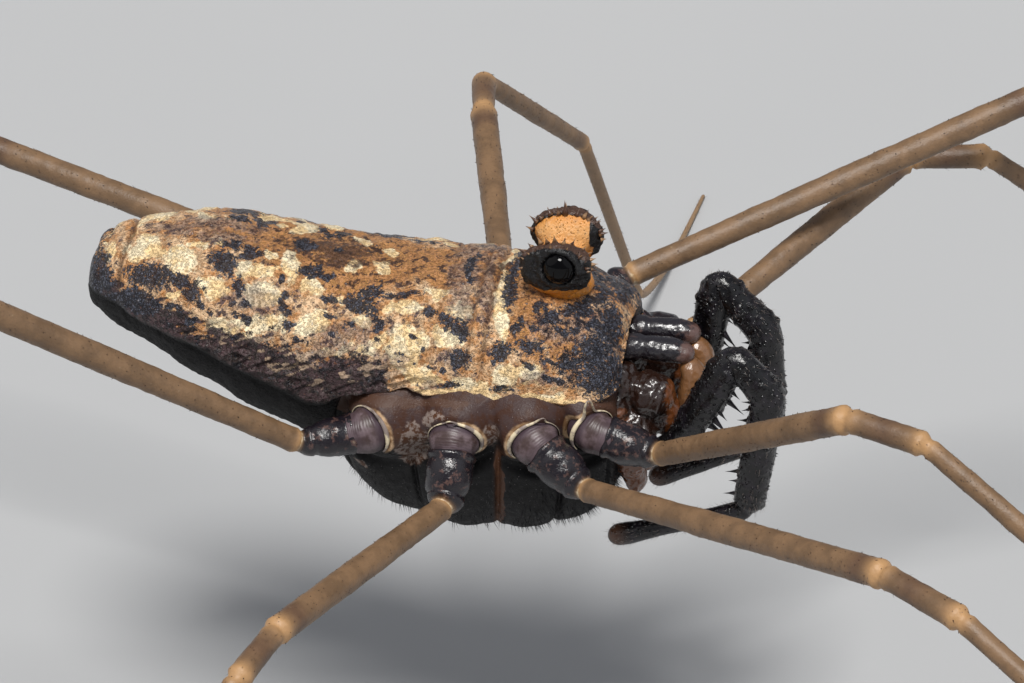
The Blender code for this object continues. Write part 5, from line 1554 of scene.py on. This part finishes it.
class HARVESTMAN_OT_legs(bpy.types.Operator):
    """Builds the eight legs, each one skin from its socket to its foot, with teeth and hairs."""
    bl_idname = "harvestman.legs"
    bl_label = "Legs"

    def execute(self, context):
        settings = context.scene.harvestman_legs
        colours = context.scene.harvestman_colours
        paint = leg_paint(colours)
        tooth_colour = bristle_paint("leg_tooth", colours.umber, colours.venter, 0.35)
        hair_colour = bristle_paint("leg_hair", colours.venter, colours.umber, 0.4)
        for name, side in SIDES.items():
            teeth, hairs = [], []
            for number in COXA_SOCKET:
                socket, hip, knee, shin, ankle, heel = leg_joints(number, side)
                axis = heading(*POSE[(number, side)][0], side)
                fall = heading(*POSE[(number, side)][4], side)
                flat = heading(POSE[(number, side)][5], 0, side)
                turn = unit(fall + unit(flat - np.array((0, 0, 0.8))))
                foot = tarsus_line(heel, turn, TARSUS[number], flat)
                corners = [socket + axis * 0.15, hip, knee, shin, ankle, heel]
                path = eased_path(corners + foot[::3] + [foot[-1]], 0.20)
                path, travelled = walk(path, 0.034)
                spots = reached(path, travelled, (hip, knee, shin, ankle, heel))
                at = dict(zip(("hip", "knee", "shin", "ankle", "heel"), spots))
                end = travelled[-1]
                thick = {1: 0.96, 2: 1.06, 3: 1.10, 4: 0.92}[number]
                keys = [0, 0.06, 0.12, 0.18, 0.36, 0.56, 0.68, 0.74, 0.80, 0.87, 0.94]
                sizes = [thick * size for size in (
                    0.36, 0.385, 0.385, 0.345, 0.370, 0.350, 0.315, 0.270, 0.290, 0.265, 0.21)]
                runs = (("femur", "hip", "knee"), ("patella", "knee", "shin"),
                        ("tibia", "shin", "ankle"), ("metatarsus", "ankle", "heel"))
                for segment, first, last in runs:
                    low, mid, high = GIRTHS[segment]
                    begin, finish = at[first], at[last]
                    keys += [begin + 0.05, begin + 0.13, begin + 0.26, (begin + finish) / 2,
                             finish - 0.20, finish - 0.07, finish - 0.02]
                    sizes += [low * 0.86, low * 1.06, low, mid, high * 0.98, high * 1.05,
                              high * 0.92]
                low, mid, high = GIRTHS["tarsus"]
                keys += [at["heel"] + 0.03, at["heel"] + 0.25, (at["heel"] + end) / 2, end]
                sizes += [low * 0.85, low, mid, high]
                radii = np.interp(travelled, keys, sizes) * settings.girth
                radii = rounded_ends(radii, travelled, 0.08, 0.08)
                path[:, 2] = np.maximum(path[:, 2], radii - AXIS_HEIGHT)
                rings = tube(path, radii, 20)
                thick = 1 - ease(travelled, at["ankle"], at["ankle"] + 0.8)
                base = 1 - ease(travelled, at["hip"] - 0.12, at["hip"] + 0.02)
                relief = thick[:, None] * (
                    0.007 * ripple(rings, 0.12, 71) + 0.008 * ripple(rings, 0.5, 72))
                relief += base[:, None] * (
                    0.030 * ripple(rings, 0.20, 73) + 0.010 * ripple(rings, 0.07, 74))
                rings = rings + ring_normals(rings) * relief[..., None]
                rings[..., 2] = np.maximum(rings[..., 2], -AXIS_HEIGHT)
                joint = np.zeros_like(travelled)
                for spot, reach in ((at["hip"] + 0.1, 0.08), (at["knee"], 0.20), (at["shin"], 0.18),
                                    (at["ankle"], 0.16), (at["heel"], 0.14)):
                    joint = np.maximum(joint, np.exp(-((travelled - spot) / reach)**2))
                # Painted shade bands on either side of the knee and before the ankle
                dusk = np.exp(-((travelled - at["knee"] + 0.45) / 0.20)**2) * 0.8
                dusk = np.maximum(dusk, 0.7 * np.exp(-((travelled - at["knee"] - 0.7) / 0.30)**2))
                dusk = np.maximum(dusk, 0.5 * np.exp(-((travelled - at["ankle"] + 0.4) / 0.2)**2))
                ring = np.exp(-((travelled - at["hip"] - 0.07) / 0.045)**2)
                dark = 1 - ease(travelled, at["hip"] - 0.02, at["hip"] + 0.10)
                slim = ease(travelled, at["shin"], at["heel"])
                shape = np.ones(rings.shape[:2])
                replaced = tuple(f"leg_{number}_{name}_{part}" for part in (
                    "femur", "tibia", "metatarsus", "tarsus"))
                new_skin(f"leg_{number}_{name}", rings, paint, replaced, "femur_shell",
                         joint=joint[:, None], dusk=dusk[:, None], ring=ring[:, None] * 0.4,
                         hip=dark[:, None], slim=slim[:, None])
                comb = unit(np.gradient(path, axis=0))[:, None] * shape[..., None]
                armed = ease(travelled, at["hip"], at["hip"] + 0.4) * (
                    1 - ease(travelled, at["shin"] + 1.5, at["ankle"]))
                teeth += scattered(rings, armed[:, None] * shape, 330, settings.tooth / MM, 0.013,
                                   comb, 0.45, 80 + number + 4 * side, 0.008)
                furred = ease(travelled, at["hip"], at["knee"]) * 0.4 + ease(
                    travelled, at["shin"], at["heel"]) * 2.5
                hairs += scattered(rings, furred[:, None] * shape, 520, 0.075, 0.0042, comb, 0.6,
                                   90 + number + 4 * side, 0.008)
            set_spines(f"leg_teeth_{name}", teeth, tooth_colour, sides=4,
                       needle=1.2)
            set_spines(f"leg_hairs_{name}", hairs, hair_colour, sides=3,
                       needle=1.1, bend=0.2)
        return {"FINISHED"}


class HARVESTMAN_OT_bristles(bpy.types.Operator):
    """Sets the short black bristles on the underside of the leg bases."""
    bl_idname = "harvestman.bristles"
    bl_label = "Bristles of the underside"

    def execute(self, context):
        colours = context.scene.harvestman_colours
        rings, share = KEPT["leg_bases"]
        low = ease(share, 0.50, 0.70) * (0.35 + ease(rings[..., 0], 2.6, 4.0))
        roots = scattered(rings, low, 2600, 0.14, 0.006, (0.5, 0, -0.6), 0.35, 101, 0.015)
        set_spines("underside_bristles", roots,
                   bristle_paint("bristle", colours.venter, colours.ink, 0.35),
                   sides=3, needle=1.1, bend=0.25)
        return {"FINISHED"}


class HARVESTMAN_OT_stage(bpy.types.Operator):
    """Sets the plain floor, the soft lights and the camera."""
    bl_idname = "harvestman.stage"
    bl_label = "Floor, lights and camera"

    def execute(self, context):
        settings = context.scene.harvestman_stage
        scene = context.scene
        bm = bmesh.new()
        bmesh.ops.create_grid(bm, x_segments=4, y_segments=4, size=1.5)
        mesh = bpy.data.meshes.new("studio_floor")
        bm.to_mesh(mesh)
        bm.free()
        mesh.materials.append(floor_paint(settings.floor))
        floor = bpy.data.objects.new("studio_floor", mesh)
        scene.collection.objects.link(floor)
        world = bpy.data.worlds.new("studio")
        world.use_nodes = True
        background = world.node_tree.nodes["Background"]
        background.inputs["Color"].default_value = (0.86, 0.90, 1.0, 1)
        background.inputs["Strength"].default_value = settings.sky
        scene.world = world
        target = Vector(raise_to_frame(VIEW_TARGET))
        for name, turn, rise, width, power, colour in (
            ("key_light", 6, 64, 20, settings.key, (1.0, 0.98, 0.95)),
            ("head_light", 74, 34, 70, settings.fill, (0.92, 0.96, 1.0)),
            ("rear_light", -66, 40, 70, settings.fill, (1.0, 0.98, 0.95)),
        ):
            light = bpy.data.lights.new(name, "SUN")
            light.angle = math.radians(width)
            light.energy = power
            light.color = colour
            lamp = bpy.data.objects.new(name, light)
            turn, rise = math.radians(turn), math.radians(rise)
            back = Vector((math.sin(turn) * math.cos(rise), -math.cos(turn) * math.cos(rise),
                           math.sin(rise)))
            lamp.location = target + back * 0.25
            lamp.rotation_euler = back.to_track_quat("Z", "Y").to_euler()
            scene.collection.objects.link(lamp)
        camera = bpy.data.cameras.new("camera")
        camera.sensor_width = 36
        camera.angle = VIEW_ANGLE
        camera.clip_start = 0.01
        camera.clip_end = 10
        holder = bpy.data.objects.new("camera", camera)
        back = Vector((
            math.sin(VIEW_TURN) * math.cos(VIEW_DROP), -math.cos(VIEW_TURN) * math.cos(VIEW_DROP),
            math.sin(VIEW_DROP)))
        distance = VIEW_WIDTH * MM / 2 / math.tan(VIEW_ANGLE / 2)
        holder.location = target + back * distance
        holder.rotation_euler = back.to_track_quat("Z", "Y").to_euler()
        scene.collection.objects.link(holder)
        scene.camera = holder
        scene.view_settings.view_transform = "Standard"
        return {"FINISHED"}


class HARVESTMAN_PT_panel(bpy.types.Panel):
    """Lists the settings and the steps that build the model."""
    bl_idname = "HARVESTMAN_PT_panel"
    bl_label = "Harvestman"
    bl_space_type = "VIEW_3D"
    bl_region_type = "UI"
    bl_category = "Harvestman"

    def draw(self, context):
        for group in SETTINGS:
            box = self.layout.box()
            for field in SETTINGS[group].__annotations__:
                box.prop(getattr(context.scene, group), field)
        for step in STEPS:
            self.layout.operator(step.bl_idname)


SETTINGS = {
    "harvestman_trunk": HarvestmanTrunk,
    "harvestman_legs": HarvestmanLegs,
    "harvestman_feelers": HarvestmanFeelers,
    "harvestman_stage": HarvestmanStage,
    "harvestman_colours": HarvestmanColours,
}
STEPS = (
    HARVESTMAN_OT_stage,
    HARVESTMAN_OT_trunk,
    HARVESTMAN_OT_leg_bases,
    HARVESTMAN_OT_sockets,
    HARVESTMAN_OT_eye_mound,
    HARVESTMAN_OT_jaws,
    HARVESTMAN_OT_feelers,
    HARVESTMAN_OT_legs,
    HARVESTMAN_OT_bristles,
)


def register():
    for group, kind in SETTINGS.items():
        bpy.utils.register_class(kind)
        setattr(bpy.types.Scene, group, PointerProperty(type=kind))
    for kind in (*STEPS, HARVESTMAN_PT_panel):
        bpy.utils.register_class(kind)


def unregister():
    for kind in reversed((*STEPS, HARVESTMAN_PT_panel)):
        bpy.utils.unregister_class(kind)
    for group, kind in SETTINGS.items():
        delattr(bpy.types.Scene, group)
        bpy.utils.unregister_class(kind)


def main():
    register()
    bpy.ops.harvestman.stage()
    bpy.ops.harvestman.trunk()
    bpy.ops.harvestman.leg_bases()
    bpy.ops.harvestman.sockets()
    bpy.ops.harvestman.eye_mound()
    bpy.ops.harvestman.jaws()
    bpy.ops.harvestman.feelers()
    bpy.ops.harvestman.legs()
    bpy.ops.harvestman.bristles()


if __name__ == "__main__":
    main()
